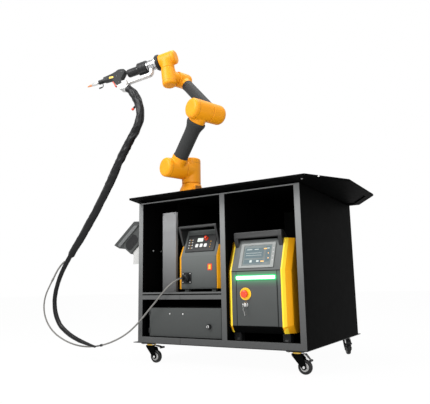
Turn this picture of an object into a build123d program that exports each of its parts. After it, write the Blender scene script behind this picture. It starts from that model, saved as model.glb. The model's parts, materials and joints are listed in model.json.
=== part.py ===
"""Collaborative robot arm with a laser welding torch, on its wheeled cart with the machines that feed it.

Millimetres, +Z up. The origin is on the floor under the middle of the cabinet. +X runs along the open
front, to the right, and +Y runs from the front to the back.
"""
import os
from math import cos, pi, radians, sin, tan

from build123d import *

os.makedirs("parts", exist_ok=True)

# Cabinet of the cart
cabinet_width = 1100
cabinet_depth = 940
cabinet_height = 870
caster_height = 117
sheet = 4
post_size = 33
post_round = 3
rail_depth = 30
centre_post_x = 71
top_rail_height = 8
bottom_rail_height = 36
shelf_height = 305
shelf_lip_height = 13
shelf_rail_height = 31
base_left_overhang = 37
base_back_overhang = 60
divider_setback = 130

# Table top, seen from above
table_thickness = 12
table_recess = 8
table_lip = 45
table_front_overhang = 140
table_left_inset = 37
table_right_overhang = 233
wing_front_run = 149
wing_front_cut = 270
wing_back_run = 165
wing_back_cut = 295

# Casters
caster_inset_x = 70
caster_inset_y = 45
caster_turns = [0, 0, -60, 150]
caster_trail = 38
caster_plate_x = 95
caster_plate_y = 80
caster_plate_thickness = 5
raceway_radius = 27
raceway_height = 9
kingpin_radius = 9
crown_length = 54
crown_height = 9
fork_sheet = 4
fork_boss = 13
wheel_radius = 37.5
wheel_width = 24
wheel_round = 6
hub_radius = 22
hub_recess = 5
axle_radius = 5
wheel_side_gap = 4
pedal_length = 44
pedal_width = 34
pedal_sheet = 4
pedal_start = 42
pedal_slopes = [12, 48, 48, 48]
running_gap = 0.4

# Laser source in the right bay
laser_gap_share = 0.071
laser_front = 20
laser_width = 396
laser_depth = 640
laser_height = 512
laser_lift = 76
laser_cover = 48
laser_cover_chamfer = 40
laser_skirt = 34
laser_skirt_setback = 24
laser_bezel_start = 337
laser_bezel_setback = 70
laser_handle_bar = 36
laser_handle_rise = 45
laser_handle_arm = 26
laser_handle_reach = 34
laser_screen_width = 214
laser_screen_height = 150
laser_screen_thickness = 6
laser_screen_gap = 14
laser_light_width = 245
laser_light_height = 26
laser_light_thickness = 5
laser_light_z = 298
stop_x = -62
stop_z = 210
stop_collar_radius = 34
stop_collar_thickness = 7
stop_radius = 21
stop_head = 14
stop_stem_radius = 11
stop_stem = 10
key_z = 152
key_radius = 11
key_length = 20
key_bow_width = 7
key_bow_height = 26
key_bow_length = 18
laser_foot_inset = 50
laser_foot_radius = 28
laser_foot_width = 22

# Wire feeder on the shelf
feeder_front = 90
feeder_width = 300
feeder_depth = 480
feeder_height = 366
feeder_lift = 16
feeder_cover = 22
feeder_cover_chamfer = 16
feeder_panel_start = 198
feeder_panel_setback = 80
feeder_hood_reach = 95
feeder_hood_rise = 22
feeder_hood_sheet = 16
feeder_hood_drop = 104
feeder_face_width = 212
feeder_face_height = 118
feeder_face_thickness = 5
feeder_face_gap = 28
feeder_knob_radius = 12
feeder_knob_length = 18
feeder_socket_x = -84
feeder_socket_z = 67
feeder_socket_plate = 66
feeder_socket_sheet = 6
feeder_socket_radius = 25
feeder_socket_length = 26
feeder_switch_x = 83
feeder_switch_z = 129
feeder_switch_width = 26
feeder_switch_height = 32
feeder_switch_depth = 8
feeder_foot = 30

# Tall box left of the feeder and control box in the lower left bay
left_bay_gap_shares = [0.5302, 0.0105, 0.1417]
tall_box_width = 106
tall_box_height = 505
tall_box_depth = 420
tall_box_front = 110
tall_box_round = 4
control_box_height = 168
control_box_depth = 420
control_box_front = 34
control_box_sheet = 3
control_box_left_gap = 46
control_box_right_gap = 12
door_sheet = 3
door_return = 15
door_gap = 3
door_edge_gap = 0.5
knob_radius = 13
knob_length = 20
knob_inset = 80
knob_height_share = 0.39

# Teach pendant beside the left post
pendant_reach = 225
pendant_setback = 10
pendant_drop = 255
pendant_slope = 40.6
pendant_screen = 225
pendant_top_cut = 30
pendant_slab = 48
pendant_foot_cut = 20
pendant_length = 250
grip_depth = 90
grip_start = 42
grip_end = 172
grip_inset = 10
bracket_width = 73
bracket_low = 129
bracket_sheet = 4
bracket_inset = 22

# Robot arm, joint by joint
robot_x = -168
robot_setback = 40
axis_azimuth = -108
upper_arm_slope = 48.3
forearm_slope = 134.1
wrist_tilt = 9.7
tool_turn = 62.5
shoulder_height = 158
shoulder_offset = 122
upper_arm_length = 390
elbow_offset = 98
forearm_length = 438
wrist_offset = 113
wrist_rise = 123
joint_gap = 0.5
module_radius = 58.5
module_cap = 85
module_round = 16
seam_width = 2
seam_depth = 1.5
base_radius = 95
base_flange = 12
base_height = 76
base_neck = 10
socket_block_length = 46
socket_block_height = 44
socket_block_reach = 92
socket_block_turn = 78
column_top = 78
stub_reach = 63
neck_radius = 47
upper_arm_tube_radius = 43
tube_start = 84
collar_radius = 56
collar_length = 20
collar_flare = 16
elbow_face = 49
forearm_tube_radius = 35
forearm_cap = 56
forearm_seat = 40
wrist_radius = 49
wrist_cap = 45
wrist_face = 52
wrist_neck = 66
wrist_module_radius = 45
wrist_module_round = 12
wrist_stub_radius = 43
wrist_drop = 66
wrist_face_rise = 50
hand_back = 66
hand_face = 46

# Tool flange, bracket and torch, measured along the tool axis from the hand's centre
flange_radius = 51
flange_length = 24
flange_ring_radius = 42
flange_ring_length = 8
adapter_radius = 34
adapter_length = 60
clamp_radius = 42
clamp_length = 68
nose_radius = 27
nose_length = 82
bar_width = 30
bar_thickness = 22
bar_drop = 65
bar_round = 14
bar_root = 36
bar_end = 290
torch_start = 302
torch_length = 170
torch_height = 124
torch_floor = -71
torch_width = 44
torch_round = 6
torch_axis = 14
torch_collar_radius = 15
torch_collar_length = 46
nozzle_radius = 11
nozzle_tip_radius = 4
nozzle_length = 90
trigger_length = 46
trigger_thickness = 9
trigger_width = 16
trigger_gap = 0.5
trigger_swing = 7
block_width = 56

# Cords
sleeve_radius = 25
sleeve_run = 50
conduit_radius = 5
conduit_run = 34
cord_gap = 1
sleeve_outlet = (-552.46, -596.39, 1738.89)
sleeve_route = [
    (-484, -592, 1662),
    (-450, -594, 1604),
    (-438, -598, 1530),
    (-452, -602, 1462),
    (-498, -602, 1398),
    (-556, -602, 1326),
    (-614, -602, 1240),
    (-690, -602, 1112),
    (-772, -602, 988),
    (-866, -602, 864),
    (-966, -602, 740),
    (-1066, -602, 622),
    (-1140, -602, 500),
    (-1172, -602, 360),
    (-1124, -602, 230),
    (-1012, -602, 160),
    (-890, -602, 118),
    (-786, -602, 98),
]
conduit_outlet = (-240, -406, 505)
conduit_route = [
    (-256, -474, 492),
    (-290, -498, 462),
    (-336, -502, 420),
    (-386, -502, 368),
    (-436, -502, 322),
    (-488, -502, 270),
    (-542, -506, 220),
    (-600, -514, 174),
    (-672, -524, 136),
    (-754, -534, 106),
    (-846, -540, 88),
    (-942, -546, 84),
    (-1036, -556, 98),
    (-1124, -568, 130),
    (-1200, -580, 176),
    (-1256, -590, 246),
    (-1276, -598, 326),
    (-1258, -604, 404),
    (-1218, -606, 470),
    (-1176, -606, 528),
]

# Places that follow from the sizes
deck_z = caster_height + sheet
roof_z = caster_height + cabinet_height
table_z = roof_z + table_thickness
left_x = -cabinet_width / 2
right_x = cabinet_width / 2
front_y = -cabinet_depth / 2
back_y = cabinet_depth / 2
post_back_y = front_y + post_size
bay_left_x = left_x + post_size
bay_right_x = right_x - post_size
centre_left_x = centre_post_x - post_size / 2
centre_right_x = centre_post_x + post_size / 2
wall_left_x = left_x + sheet
wall_right_x = right_x - sheet
partition_left_x = centre_left_x
partition_right_x = partition_left_x + sheet
right_bay_room = wall_right_x - partition_right_x - laser_width
laser_x = partition_right_x + right_bay_room * laser_gap_share + laser_width / 2
left_bay_room = partition_left_x - wall_left_x - tall_box_width - sheet - feeder_width
left_bay_gaps = [left_bay_room * share for share in left_bay_gap_shares]
tall_box_x = wall_left_x + left_bay_gaps[0] + tall_box_width / 2
divider_x = tall_box_x + tall_box_width / 2 + left_bay_gaps[1] + sheet / 2
feeder_x = divider_x + sheet / 2 + left_bay_gaps[2] + feeder_width / 2
shelf_z = caster_height + shelf_height
overrun = sheet

axis_dir = Vector(1, 0, 0).rotate(Axis.Z, axis_azimuth)
lean_dir = Vector(0, 1, 0).rotate(Axis.Z, axis_azimuth)
up_dir = Vector(0, 0, 1)


def in_arm_plane(rise):
    """Direction in the upright plane of the arm, turned up from the level by an angle."""
    return lean_dir * cos(radians(rise)) + up_dir * sin(radians(rise))


upper_dir = in_arm_plane(upper_arm_slope)
fore_dir = in_arm_plane(forearm_slope)
wrist_dir = in_arm_plane(90 + wrist_tilt)
tool_dir = axis_dir * cos(radians(tool_turn)) + in_arm_plane(180 + wrist_tilt) * sin(radians(tool_turn))

base_point = Vector(robot_x, front_y + robot_setback, table_z)
shoulder_point = base_point + up_dir * shoulder_height
upper_point = shoulder_point + axis_dir * shoulder_offset
elbow_point = upper_point + upper_dir * upper_arm_length
fore_point = elbow_point - axis_dir * elbow_offset
wrist_point = fore_point + fore_dir * forearm_length
turn_point = wrist_point + axis_dir * wrist_offset
hand_point = turn_point + wrist_dir * wrist_rise

shoulder_plane = Plane(shoulder_point, x_dir=up_dir, z_dir=axis_dir)
upper_joint_plane = Plane(upper_point, x_dir=upper_dir, z_dir=axis_dir)
upper_plane = Plane(upper_point, x_dir=axis_dir, z_dir=upper_dir)
elbow_plane = Plane(elbow_point, x_dir=upper_dir, z_dir=axis_dir)
fore_joint_plane = Plane(fore_point, x_dir=fore_dir, z_dir=axis_dir)
fore_plane = Plane(fore_point, x_dir=axis_dir, z_dir=fore_dir)
wrist_plane = Plane(wrist_point, x_dir=fore_dir, z_dir=axis_dir)
turn_plane = Plane(turn_point, x_dir=axis_dir, z_dir=wrist_dir)
hand_plane = Plane(hand_point, x_dir=wrist_dir, z_dir=tool_dir)
side_dir = tool_dir.cross(wrist_dir)
tool_side_plane = Plane(hand_point, x_dir=tool_dir, z_dir=side_dir)


def tool_point(point, direction, distance):
    """Point of the tool's side plane in the shared frame, moved along a direction of that plane."""
    along = point[0] + direction.X * distance
    across = point[1] + direction.Y * distance
    return hand_point + tool_dir * along + wrist_dir * across


def save(part, name):
    """Labels a finished piece and writes it under its node's name."""
    part.label = name
    export_step(part, f"parts/{name}.step")


def block(low, high, mode=Mode.ADD):
    """Box between two opposite corners."""
    middle = [(start + end) / 2 for start, end in zip(low, high)]
    size = [end - start for start, end in zip(low, high)]
    with Locations(tuple(middle)):
        Box(*size, mode=mode)


def drum(plane, start, end, radius, mode=Mode.ADD):
    """Round bar along a plane's normal, from one height to another."""
    with Locations(plane.offset(start)):
        Cylinder(radius, end - start, align=(Align.CENTER, Align.CENTER, Align.MIN), mode=mode)


def seam(plane, height, radius):
    """Fine groove round a drum."""
    with Locations(plane.offset(height)):
        Torus(radius + seam_width / 2, seam_depth, mode=Mode.SUBTRACT)


def rim(part, plane, last=True):
    """Circular edge of a part that lies furthest along a plane's normal."""
    edges = part.edges().filter_by(GeomType.CIRCLE)
    ordered = edges.sort_by(Axis(plane.origin, plane.z_dir))
    return ordered[-1] if last else ordered[0]


# Cart


def make_base_plate():
    """Floor of the cabinet, a sheet that stands out at the left and at the back."""
    with BuildPart() as base_plate:
        block(
            (left_x - base_left_overhang, front_y, caster_height),
            (right_x, back_y + base_back_overhang, deck_z),
        )
    save(base_plate.part, "base_plate")


def make_front_posts():
    """Three square tubes that carry the front."""
    with BuildPart() as front_posts:
        for x in (left_x, centre_left_x, right_x - post_size):
            block((x, front_y, deck_z), (x + post_size, post_back_y, roof_z))
        fillet(front_posts.edges().filter_by(Axis.Z), post_round)
    save(front_posts.part, "front_posts")


def make_front_rails():
    """Cross rails between the posts, at the top, at the shelf and at the bottom."""
    bays = [(bay_left_x, centre_left_x), (centre_right_x, bay_right_x)]
    with BuildPart() as front_rails:
        for start, end in bays:
            block((start, front_y, roof_z - top_rail_height), (end, front_y + rail_depth, roof_z))
            block((start, front_y, deck_z), (end, front_y + rail_depth, deck_z + bottom_rail_height))
        rail_top = shelf_z - shelf_lip_height
        start, end = bays[0]
        block((start, front_y, rail_top - shelf_rail_height), (end, front_y + rail_depth, rail_top))
    save(front_rails.part, "front_rails")


def make_side_panels():
    """Left and right walls."""
    with BuildPart() as side_panels:
        for x in (left_x, right_x - sheet):
            block((x, post_back_y, deck_z), (x + sheet, back_y, roof_z))
    save(side_panels.part, "side_panels")


def make_back_panel():
    """Back wall between the side walls."""
    with BuildPart() as back_panel:
        block((wall_left_x, back_y - sheet, deck_z), (wall_right_x, back_y, roof_z))
    save(back_panel.part, "back_panel")


def make_partition():
    """Wall between the left and the right bay."""
    with BuildPart() as bay_partition:
        block(
            (partition_left_x, post_back_y, deck_z),
            (partition_right_x, back_y - sheet, roof_z),
        )
    save(bay_partition.part, "bay_partition")


def make_shelf():
    """Shelf of the left bay with its folded front lip."""
    with BuildPart() as shelf:
        block(
            (wall_left_x, post_back_y, shelf_z - sheet),
            (partition_left_x, back_y - sheet, shelf_z),
        )
        block((bay_left_x, front_y, shelf_z - sheet), (centre_left_x, post_back_y, shelf_z))
        block(
            (bay_left_x, front_y, shelf_z - shelf_lip_height),
            (centre_left_x, front_y + sheet, shelf_z),
        )
    save(shelf.part, "shelf")


def make_divider():
    """Upright sheet on the shelf between the tall box and the feeder."""
    with BuildPart() as shelf_divider:
        block(
            (divider_x - sheet / 2, front_y + divider_setback, shelf_z),
            (divider_x + sheet / 2, back_y - sheet, roof_z),
        )
    save(shelf_divider.part, "shelf_divider")


def make_table():
    """Table top with a wing at the right and a lip under its edges."""
    table_front = front_y - table_front_overhang
    table_right = right_x + table_right_overhang
    outline = [
        (left_x + table_left_inset, table_front),
        (table_right - wing_front_run, table_front),
        (table_right, table_front + wing_front_cut),
        (table_right, back_y - wing_back_cut),
        (table_right - wing_back_run, back_y),
        (left_x, back_y),
        (left_x, front_y),
    ]
    with BuildPart() as table_top:
        with BuildSketch(Plane.XY.offset(roof_z)):
            Polygon(*outline, align=None)
        extrude(amount=table_thickness)
        with BuildSketch(Plane.XY.offset(roof_z)):
            Polygon(*outline, align=None)
            offset(amount=-table_lip, kind=Kind.INTERSECTION)
        extrude(amount=table_recess, mode=Mode.SUBTRACT)
    save(table_top.part, "table_top")


# Casters


def caster_planes():
    """Floor planes under the four swivel axes, turned along each trail."""
    x = right_x - caster_inset_x
    y = back_y - caster_inset_y
    places = [(-x, -y), (x, -y), (x, y), (-x, y)]
    planes = []
    for (place_x, place_y), turn in zip(places, caster_turns):
        trail_dir = Vector(1, 0, 0).rotate(Axis.Z, turn)
        planes.append(Plane((place_x, place_y, 0), x_dir=trail_dir, z_dir=up_dir))
    return planes


caster_names = ["front_left", "front_right", "back_right", "back_left"]
plate_z = caster_height - caster_plate_thickness
ring_z = plate_z - raceway_height
crown_top = ring_z - running_gap
crown_z = crown_top - crown_height
wheel_space = wheel_width / 2 + wheel_side_gap


def make_caster_plates():
    """Mounting plates under the cabinet floor."""
    with BuildPart() as caster_plates:
        for plane in caster_planes():
            with Locations((plane.origin.X, plane.origin.Y, plate_z)):
                Box(
                    caster_plate_x,
                    caster_plate_y,
                    caster_plate_thickness,
                    align=(Align.CENTER, Align.CENTER, Align.MIN),
                )
    save(caster_plates.part, "caster_plates")


def make_caster_rings():
    """Bearing rings of the swivels under the plates."""
    with BuildPart() as caster_rings:
        for plane in caster_planes():
            drum(plane, ring_z, plate_z, raceway_radius)
            drum(plane, ring_z, plate_z, kingpin_radius + running_gap, Mode.SUBTRACT)
    save(caster_rings.part, "caster_rings")


def make_fork(plane, slope, name):
    """Kingpin, crown, two legs, axle and brake pedal of one caster."""
    leg_plane = Plane(plane.origin, x_dir=plane.x_dir, z_dir=-plane.y_dir)
    axle_plane = leg_plane.shift_origin(plane.from_local_coords((caster_trail, 0, wheel_radius)))
    pedal_origin = plane.from_local_coords((pedal_start, 0, crown_top))
    pedal_dir = plane.x_dir * cos(radians(slope)) - up_dir * sin(radians(slope))
    pedal_plane = Plane(pedal_origin, x_dir=pedal_dir, z_dir=pedal_dir.cross(plane.y_dir))
    with BuildPart() as fork:
        drum(plane, crown_top, plate_z - running_gap, kingpin_radius)
        with BuildSketch(plane.offset(crown_z)):
            Rectangle(crown_length, 2 * (wheel_space + fork_sheet))
        extrude(amount=crown_height)
        with BuildSketch(plane.offset(crown_top - pedal_sheet)):
            Rectangle(pedal_start, pedal_width, align=(Align.MIN, Align.CENTER))
        extrude(amount=pedal_sheet)
        with BuildSketch(pedal_plane):
            Rectangle(pedal_length, pedal_width, align=(Align.MIN, Align.CENTER))
        extrude(amount=-pedal_sheet)
        for start in (wheel_space, -wheel_space - fork_sheet):
            with BuildSketch(leg_plane.offset(start)):
                with Locations((0, (crown_z + crown_top) / 2)):
                    Rectangle(crown_length, crown_height)
                with Locations((caster_trail, wheel_radius)):
                    Circle(fork_boss)
                make_hull()
            extrude(amount=fork_sheet)
        drum(axle_plane, -wheel_space, wheel_space, axle_radius)
    save(fork.part, f"caster_fork_{name}")


def make_wheel(plane, name):
    """Wheel with rounded tread and recessed hub."""
    axle = plane.from_local_coords((caster_trail, 0, wheel_radius))
    wheel_plane = Plane(axle, x_dir=plane.x_dir, z_dir=-plane.y_dir)
    with BuildPart() as wheel:
        drum(wheel_plane, -wheel_width / 2, wheel_width / 2, wheel_radius)
        fillet(wheel.edges().filter_by(GeomType.CIRCLE), wheel_round)
        drum(wheel_plane, wheel_width / 2 - hub_recess, wheel_width, hub_radius, Mode.SUBTRACT)
        drum(wheel_plane, -wheel_width, hub_recess - wheel_width / 2, hub_radius, Mode.SUBTRACT)
        drum(wheel_plane, -wheel_width, wheel_width, axle_radius + running_gap, Mode.SUBTRACT)
    save(wheel.part, f"caster_wheel_{name}")


# Laser source

laser_y = front_y + laser_front
laser_z = deck_z + laser_lift
laser_top = laser_z + laser_height
laser_bezel_slope = laser_bezel_setback / (laser_height - laser_bezel_start)


def side_plane(x, y, z):
    """Upright plane across a machine: depth to the right, height upwards."""
    return Plane((x, y, z), x_dir=(0, 1, 0), z_dir=(1, 0, 0))


def machine_profile(depth, height, skirt, skirt_setback, bezel_start, bezel_setback):
    """Side outline of a machine with a cut-back skirt and a sloping upper front."""
    return [
        (skirt_setback, 0),
        (0, skirt),
        (0, bezel_start),
        (bezel_setback, height),
        (depth, height),
        (depth, 0),
    ]


def make_laser_housing():
    """Body of the laser source between its side covers."""
    core = laser_width - 2 * laser_cover
    outline = machine_profile(
        laser_depth, laser_height, laser_skirt, laser_skirt_setback, laser_bezel_start, laser_bezel_setback
    )
    with BuildPart() as laser_housing:
        with BuildSketch(side_plane(laser_x - core / 2, laser_y, laser_z)):
            Polygon(*outline, align=None)
        extrude(amount=core)
        with Locations(Plane((laser_x + stop_x, laser_y, laser_z + stop_z), z_dir=(0, -1, 0))):
            Cylinder(
                stop_stem_radius + running_gap,
                2 * stop_stem,
                mode=Mode.SUBTRACT,
            )
    save(laser_housing.part, "laser_housing")


def make_laser_covers():
    """Coloured side covers with a broad chamfer towards the front."""
    outline = machine_profile(
        laser_depth, laser_height, laser_skirt, laser_skirt_setback, laser_bezel_start, laser_bezel_setback
    )
    core = laser_width / 2 - laser_cover
    with BuildPart() as laser_covers:
        for start, outer in ((laser_x + core, 1), (laser_x - core - laser_cover, -1)):
            with BuildSketch(side_plane(start, laser_y, laser_z)):
                Polygon(*outline, align=None)
            extrude(amount=laser_cover)
            face = laser_covers.faces().filter_by(Plane.YZ).sort_by(Axis.X)[-1 if outer > 0 else 0]
            chamfer(face.edges().sort_by(Axis.Y)[:3], laser_cover_chamfer)
    save(laser_covers.part, "laser_covers")


def make_laser_handle():
    """Bail over the top of the front: a bar on two arms."""
    half = laser_width / 2 - laser_cover
    bar_z = laser_top + laser_handle_rise - laser_handle_bar
    bar_y = laser_y + laser_handle_reach
    with BuildPart() as laser_handle:
        block(
            (laser_x - half, bar_y, bar_z),
            (laser_x + half, bar_y + laser_handle_bar, bar_z + laser_handle_bar),
        )
        for x in (laser_x - half, laser_x + half - laser_handle_arm):
            with BuildSketch(side_plane(x, laser_y, laser_top)):
                Polygon(
                    (laser_handle_reach, laser_handle_rise - laser_handle_bar),
                    (laser_handle_reach, laser_handle_rise),
                    (laser_handle_reach + laser_handle_bar, laser_handle_rise),
                    (laser_bezel_setback + laser_handle_reach + laser_handle_bar, 0),
                    (laser_bezel_setback, 0),
                    (
                        laser_bezel_setback - laser_handle_rise * laser_bezel_slope,
                        -laser_handle_rise,
                    ),
                    align=None,
                )
            extrude(amount=laser_handle_arm)
    save(laser_handle.part, "laser_handle")


def bezel_plane():
    """Plane on the sloping upper front of the laser source, at the middle of the screen."""
    slope_dir = Vector(0, laser_bezel_setback, laser_height - laser_bezel_start).normalized()
    middle = Vector(laser_x, laser_y, laser_z + laser_bezel_start) + slope_dir * (
        laser_screen_height / 2 + laser_screen_gap
    )
    return Plane(middle, x_dir=(1, 0, 0), z_dir=Vector(1, 0, 0).cross(slope_dir))


def make_laser_screen():
    """Bezel plate with a shallow window for the display."""
    plane = bezel_plane()
    window_share = 0.82
    with BuildPart() as laser_screen:
        with BuildSketch(plane):
            RectangleRounded(laser_screen_width, laser_screen_height, laser_screen_thickness)
        extrude(amount=laser_screen_thickness)
        with BuildSketch(plane.offset(laser_screen_thickness)):
            Rectangle(laser_screen_width * window_share, laser_screen_height * window_share)
        extrude(amount=-laser_screen_thickness / 2, mode=Mode.SUBTRACT)
    save(laser_screen.part, "laser_screen")


def make_laser_light():
    """Status light bar across the front."""
    with BuildPart() as laser_light_bar:
        z = laser_z + laser_light_z - laser_light_height / 2
        half = laser_light_width / 2
        block(
            (laser_x - half, laser_y - laser_light_thickness, z),
            (laser_x + half, laser_y, z + laser_light_height),
        )
        fillet(laser_light_bar.edges().filter_by(Axis.Y), laser_light_thickness)
    save(laser_light_bar.part, "laser_light_bar")


stop_plane = Plane(
    (laser_x + stop_x, laser_y, laser_z + stop_z), x_dir=(1, 0, 0), z_dir=(0, -1, 0)
)


def make_stop_collar():
    """Ring plate round the emergency stop."""
    with BuildPart() as stop_collar:
        drum(stop_plane, 0, stop_collar_thickness, stop_collar_radius)
        drum(stop_plane, 0, stop_collar_thickness, stop_stem_radius + running_gap, Mode.SUBTRACT)
    save(stop_collar.part, "laser_stop_collar")


def make_stop_button():
    """Mushroom button of the emergency stop on its stem."""
    head_start = stop_collar_thickness + stop_stem
    with BuildPart() as stop_button:
        drum(stop_plane, running_gap, head_start, stop_stem_radius)
        drum(stop_plane, head_start, head_start + stop_head, stop_radius)
        fillet(rim(stop_button, stop_plane), stop_head / 2)
    save(stop_button.part, "laser_stop_button")


def make_key_switch():
    """Key lock with the key in it."""
    plane = stop_plane.shift_origin((laser_x + stop_x, laser_y, laser_z + key_z))
    with BuildPart() as laser_key_switch:
        drum(plane, 0, key_length, key_radius)
        block(
            (
                plane.origin.X - key_bow_width / 2,
                laser_y - key_length - key_bow_length,
                plane.origin.Z - key_bow_height / 2,
            ),
            (
                plane.origin.X + key_bow_width / 2,
                laser_y - key_length,
                plane.origin.Z + key_bow_height / 2,
            ),
        )
    save(laser_key_switch.part, "laser_key_switch")


def make_laser_feet():
    """Small casters under the laser source: a wheel and its plate at each corner."""
    x_step = laser_width / 2 - laser_foot_inset
    with BuildPart() as laser_feet:
        for x in (laser_x - x_step, laser_x + x_step):
            front_foot = laser_y + laser_foot_inset + laser_skirt_setback
            back_foot = laser_y + laser_depth - laser_foot_inset
            for y in (front_foot, back_foot):
                with Locations(Plane((x, y, deck_z + laser_foot_radius), z_dir=(1, 0, 0))):
                    Cylinder(laser_foot_radius, laser_foot_width)
                half = laser_foot_width
                block((x - half, y - half, deck_z + laser_foot_radius), (x + half, y + half, laser_z))
    save(laser_feet.part, "laser_feet")


# Wire feeder

feeder_y = front_y + feeder_front
feeder_z = shelf_z + feeder_lift
feeder_top = feeder_z + feeder_height


def feeder_profile():
    """Side outline of the feeder."""
    return machine_profile(feeder_depth, feeder_height, 0, 0, feeder_panel_start, feeder_panel_setback)[1:]


def make_feeder_housing():
    """Body of the feeder between its side covers, on four feet."""
    core = feeder_width - 2 * feeder_cover
    with BuildPart() as feeder_housing:
        with BuildSketch(side_plane(feeder_x - core / 2, feeder_y, feeder_z)):
            Polygon(*feeder_profile(), align=None)
        extrude(amount=core)
        for x in (feeder_x - core / 2 + feeder_foot, feeder_x + core / 2 - feeder_foot):
            for y in (feeder_y + feeder_foot, feeder_y + feeder_depth - feeder_foot):
                half = feeder_foot / 2
                block((x - half, y - half, shelf_z), (x + half, y + half, feeder_z))
    save(feeder_housing.part, "feeder_housing")


def make_feeder_covers():
    """Coloured side covers of the feeder."""
    core = feeder_width / 2 - feeder_cover
    with BuildPart() as feeder_covers:
        for start, outer in ((feeder_x + core, 1), (feeder_x - core - feeder_cover, -1)):
            with BuildSketch(side_plane(start, feeder_y, feeder_z)):
                Polygon(*feeder_profile(), align=None)
            extrude(amount=feeder_cover)
            face = feeder_covers.faces().filter_by(Plane.YZ).sort_by(Axis.X)[-1 if outer > 0 else 0]
            chamfer(face.edges().sort_by(Axis.Y)[:2], feeder_cover_chamfer)
    save(feeder_covers.part, "feeder_covers")


def make_feeder_hood():
    """Hood over the control panel: a top bar on two side cheeks."""
    half = (feeder_width - feeder_cover) / 2
    front = feeder_y + feeder_panel_setback - feeder_hood_reach
    rear = feeder_y + feeder_panel_setback + feeder_hood_reach
    slope = feeder_panel_setback / (feeder_height - feeder_panel_start)
    with BuildPart() as feeder_hood:
        block(
            (feeder_x - half, front, feeder_top + feeder_hood_rise - feeder_hood_sheet),
            (feeder_x + half, front + feeder_hood_sheet * 2, feeder_top + feeder_hood_rise),
        )
        for x in (feeder_x - half, feeder_x + half - feeder_hood_sheet):
            with BuildSketch(side_plane(x, feeder_y, feeder_top)):
                Polygon(
                    (feeder_panel_setback - feeder_hood_reach, feeder_hood_rise - feeder_hood_sheet),
                    (feeder_panel_setback - feeder_hood_reach, feeder_hood_rise),
                    (feeder_panel_setback, feeder_hood_rise),
                    (rear - feeder_y, 0),
                    (feeder_panel_setback, 0),
                    (feeder_panel_setback - feeder_hood_drop * slope, -feeder_hood_drop),
                    align=None,
                )
            extrude(amount=feeder_hood_sheet)
    save(feeder_hood.part, "feeder_hood")


def make_feeder_panel():
    """Control panel on the sloping front, with its turning knob."""
    slope_dir = Vector(0, feeder_panel_setback, feeder_height - feeder_panel_start).normalized()
    middle = Vector(feeder_x, feeder_y, feeder_z + feeder_panel_start) + slope_dir * (
        feeder_face_height / 2 + feeder_face_gap
    )
    plane = Plane(middle, x_dir=(1, 0, 0), z_dir=Vector(1, 0, 0).cross(slope_dir))
    knob_shares = (0.158, 0.264)
    with BuildPart() as feeder_panel:
        with BuildSketch(plane):
            Rectangle(feeder_face_width, feeder_face_height)
        extrude(amount=feeder_face_thickness)
        with BuildSketch(plane.offset(feeder_face_thickness)):
            with Locations((feeder_face_width * knob_shares[0], feeder_face_height * knob_shares[1])):
                Circle(feeder_knob_radius)
        extrude(amount=feeder_knob_length)
    save(feeder_panel.part, "feeder_panel")


feeder_socket_plane = Plane(
    (feeder_x + feeder_socket_x, feeder_y, feeder_z + feeder_socket_z), x_dir=(1, 0, 0), z_dir=(0, -1, 0)
)


def make_feeder_socket():
    """Outlet of the feeder: a square flange with a round gland, and the mains rocker beside it."""
    with BuildPart() as feeder_socket:
        with BuildSketch(feeder_socket_plane):
            RectangleRounded(feeder_socket_plate, feeder_socket_plate, feeder_socket_sheet)
        extrude(amount=feeder_socket_sheet)
        drum(feeder_socket_plane, feeder_socket_sheet, feeder_socket_length, feeder_socket_radius)
    save(feeder_socket.part, "feeder_socket")


def make_feeder_switch():
    """Mains rocker switch."""
    x = feeder_x + feeder_switch_x
    z = feeder_z + feeder_switch_z
    with BuildPart() as feeder_switch:
        block(
            (x - feeder_switch_width / 2, feeder_y - feeder_switch_depth, z - feeder_switch_height / 2),
            (x + feeder_switch_width / 2, feeder_y, z + feeder_switch_height / 2),
        )
    save(feeder_switch.part, "feeder_switch")


# Boxes and pendant


def make_tall_box():
    """Tall closed box at the left of the shelf."""
    low = (tall_box_x - tall_box_width / 2, front_y + tall_box_front, shelf_z)
    high = (
        tall_box_x + tall_box_width / 2,
        front_y + tall_box_front + tall_box_depth,
        shelf_z + tall_box_height,
    )
    with BuildPart() as tall_box:
        block(low, high)
        fillet(tall_box.edges().filter_by(Axis.Z), tall_box_round)
    save(tall_box.part, "tall_box")


control_right = centre_left_x - control_box_right_gap
control_left = bay_left_x + control_box_left_gap
control_y = front_y + control_box_front
control_z = deck_z + bottom_rail_height + door_gap
control_top = control_z + control_box_height
door_y = control_y - door_sheet - door_return


def make_control_box():
    """Open-fronted sheet box in the lower left bay, standing on a low foot rail."""
    inner = control_box_sheet
    with BuildPart() as control_box:
        block((control_left, control_y, deck_z), (control_right, control_y + control_box_depth, control_top))
        block(
            (control_left + inner, control_y - overrun, control_z),
            (control_right - inner, control_y + control_box_depth - inner, control_top - inner),
            Mode.SUBTRACT,
        )
    save(control_box.part, "control_box")


def make_control_door():
    """Folded door of the control box with its knob."""
    knob_z = control_z + control_box_height * knob_height_share
    knob_plane = Plane((control_right - knob_inset, door_y, knob_z), x_dir=(1, 0, 0), z_dir=(0, -1, 0))
    low = (control_left, door_y, control_z)
    high = (control_right, control_y - door_edge_gap, control_top)
    inner_low = (control_left + door_sheet, door_y + door_sheet, control_z + door_sheet)
    inner_high = (control_right - door_sheet, control_y + overrun, control_top - door_sheet)
    with BuildPart() as control_door:
        block(low, high)
        block(inner_low, inner_high, Mode.SUBTRACT)
        drum(knob_plane, 0, knob_length, knob_radius)
        fillet(rim(control_door, knob_plane), knob_radius / 4)
    save(control_door.part, "control_box_door")


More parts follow.
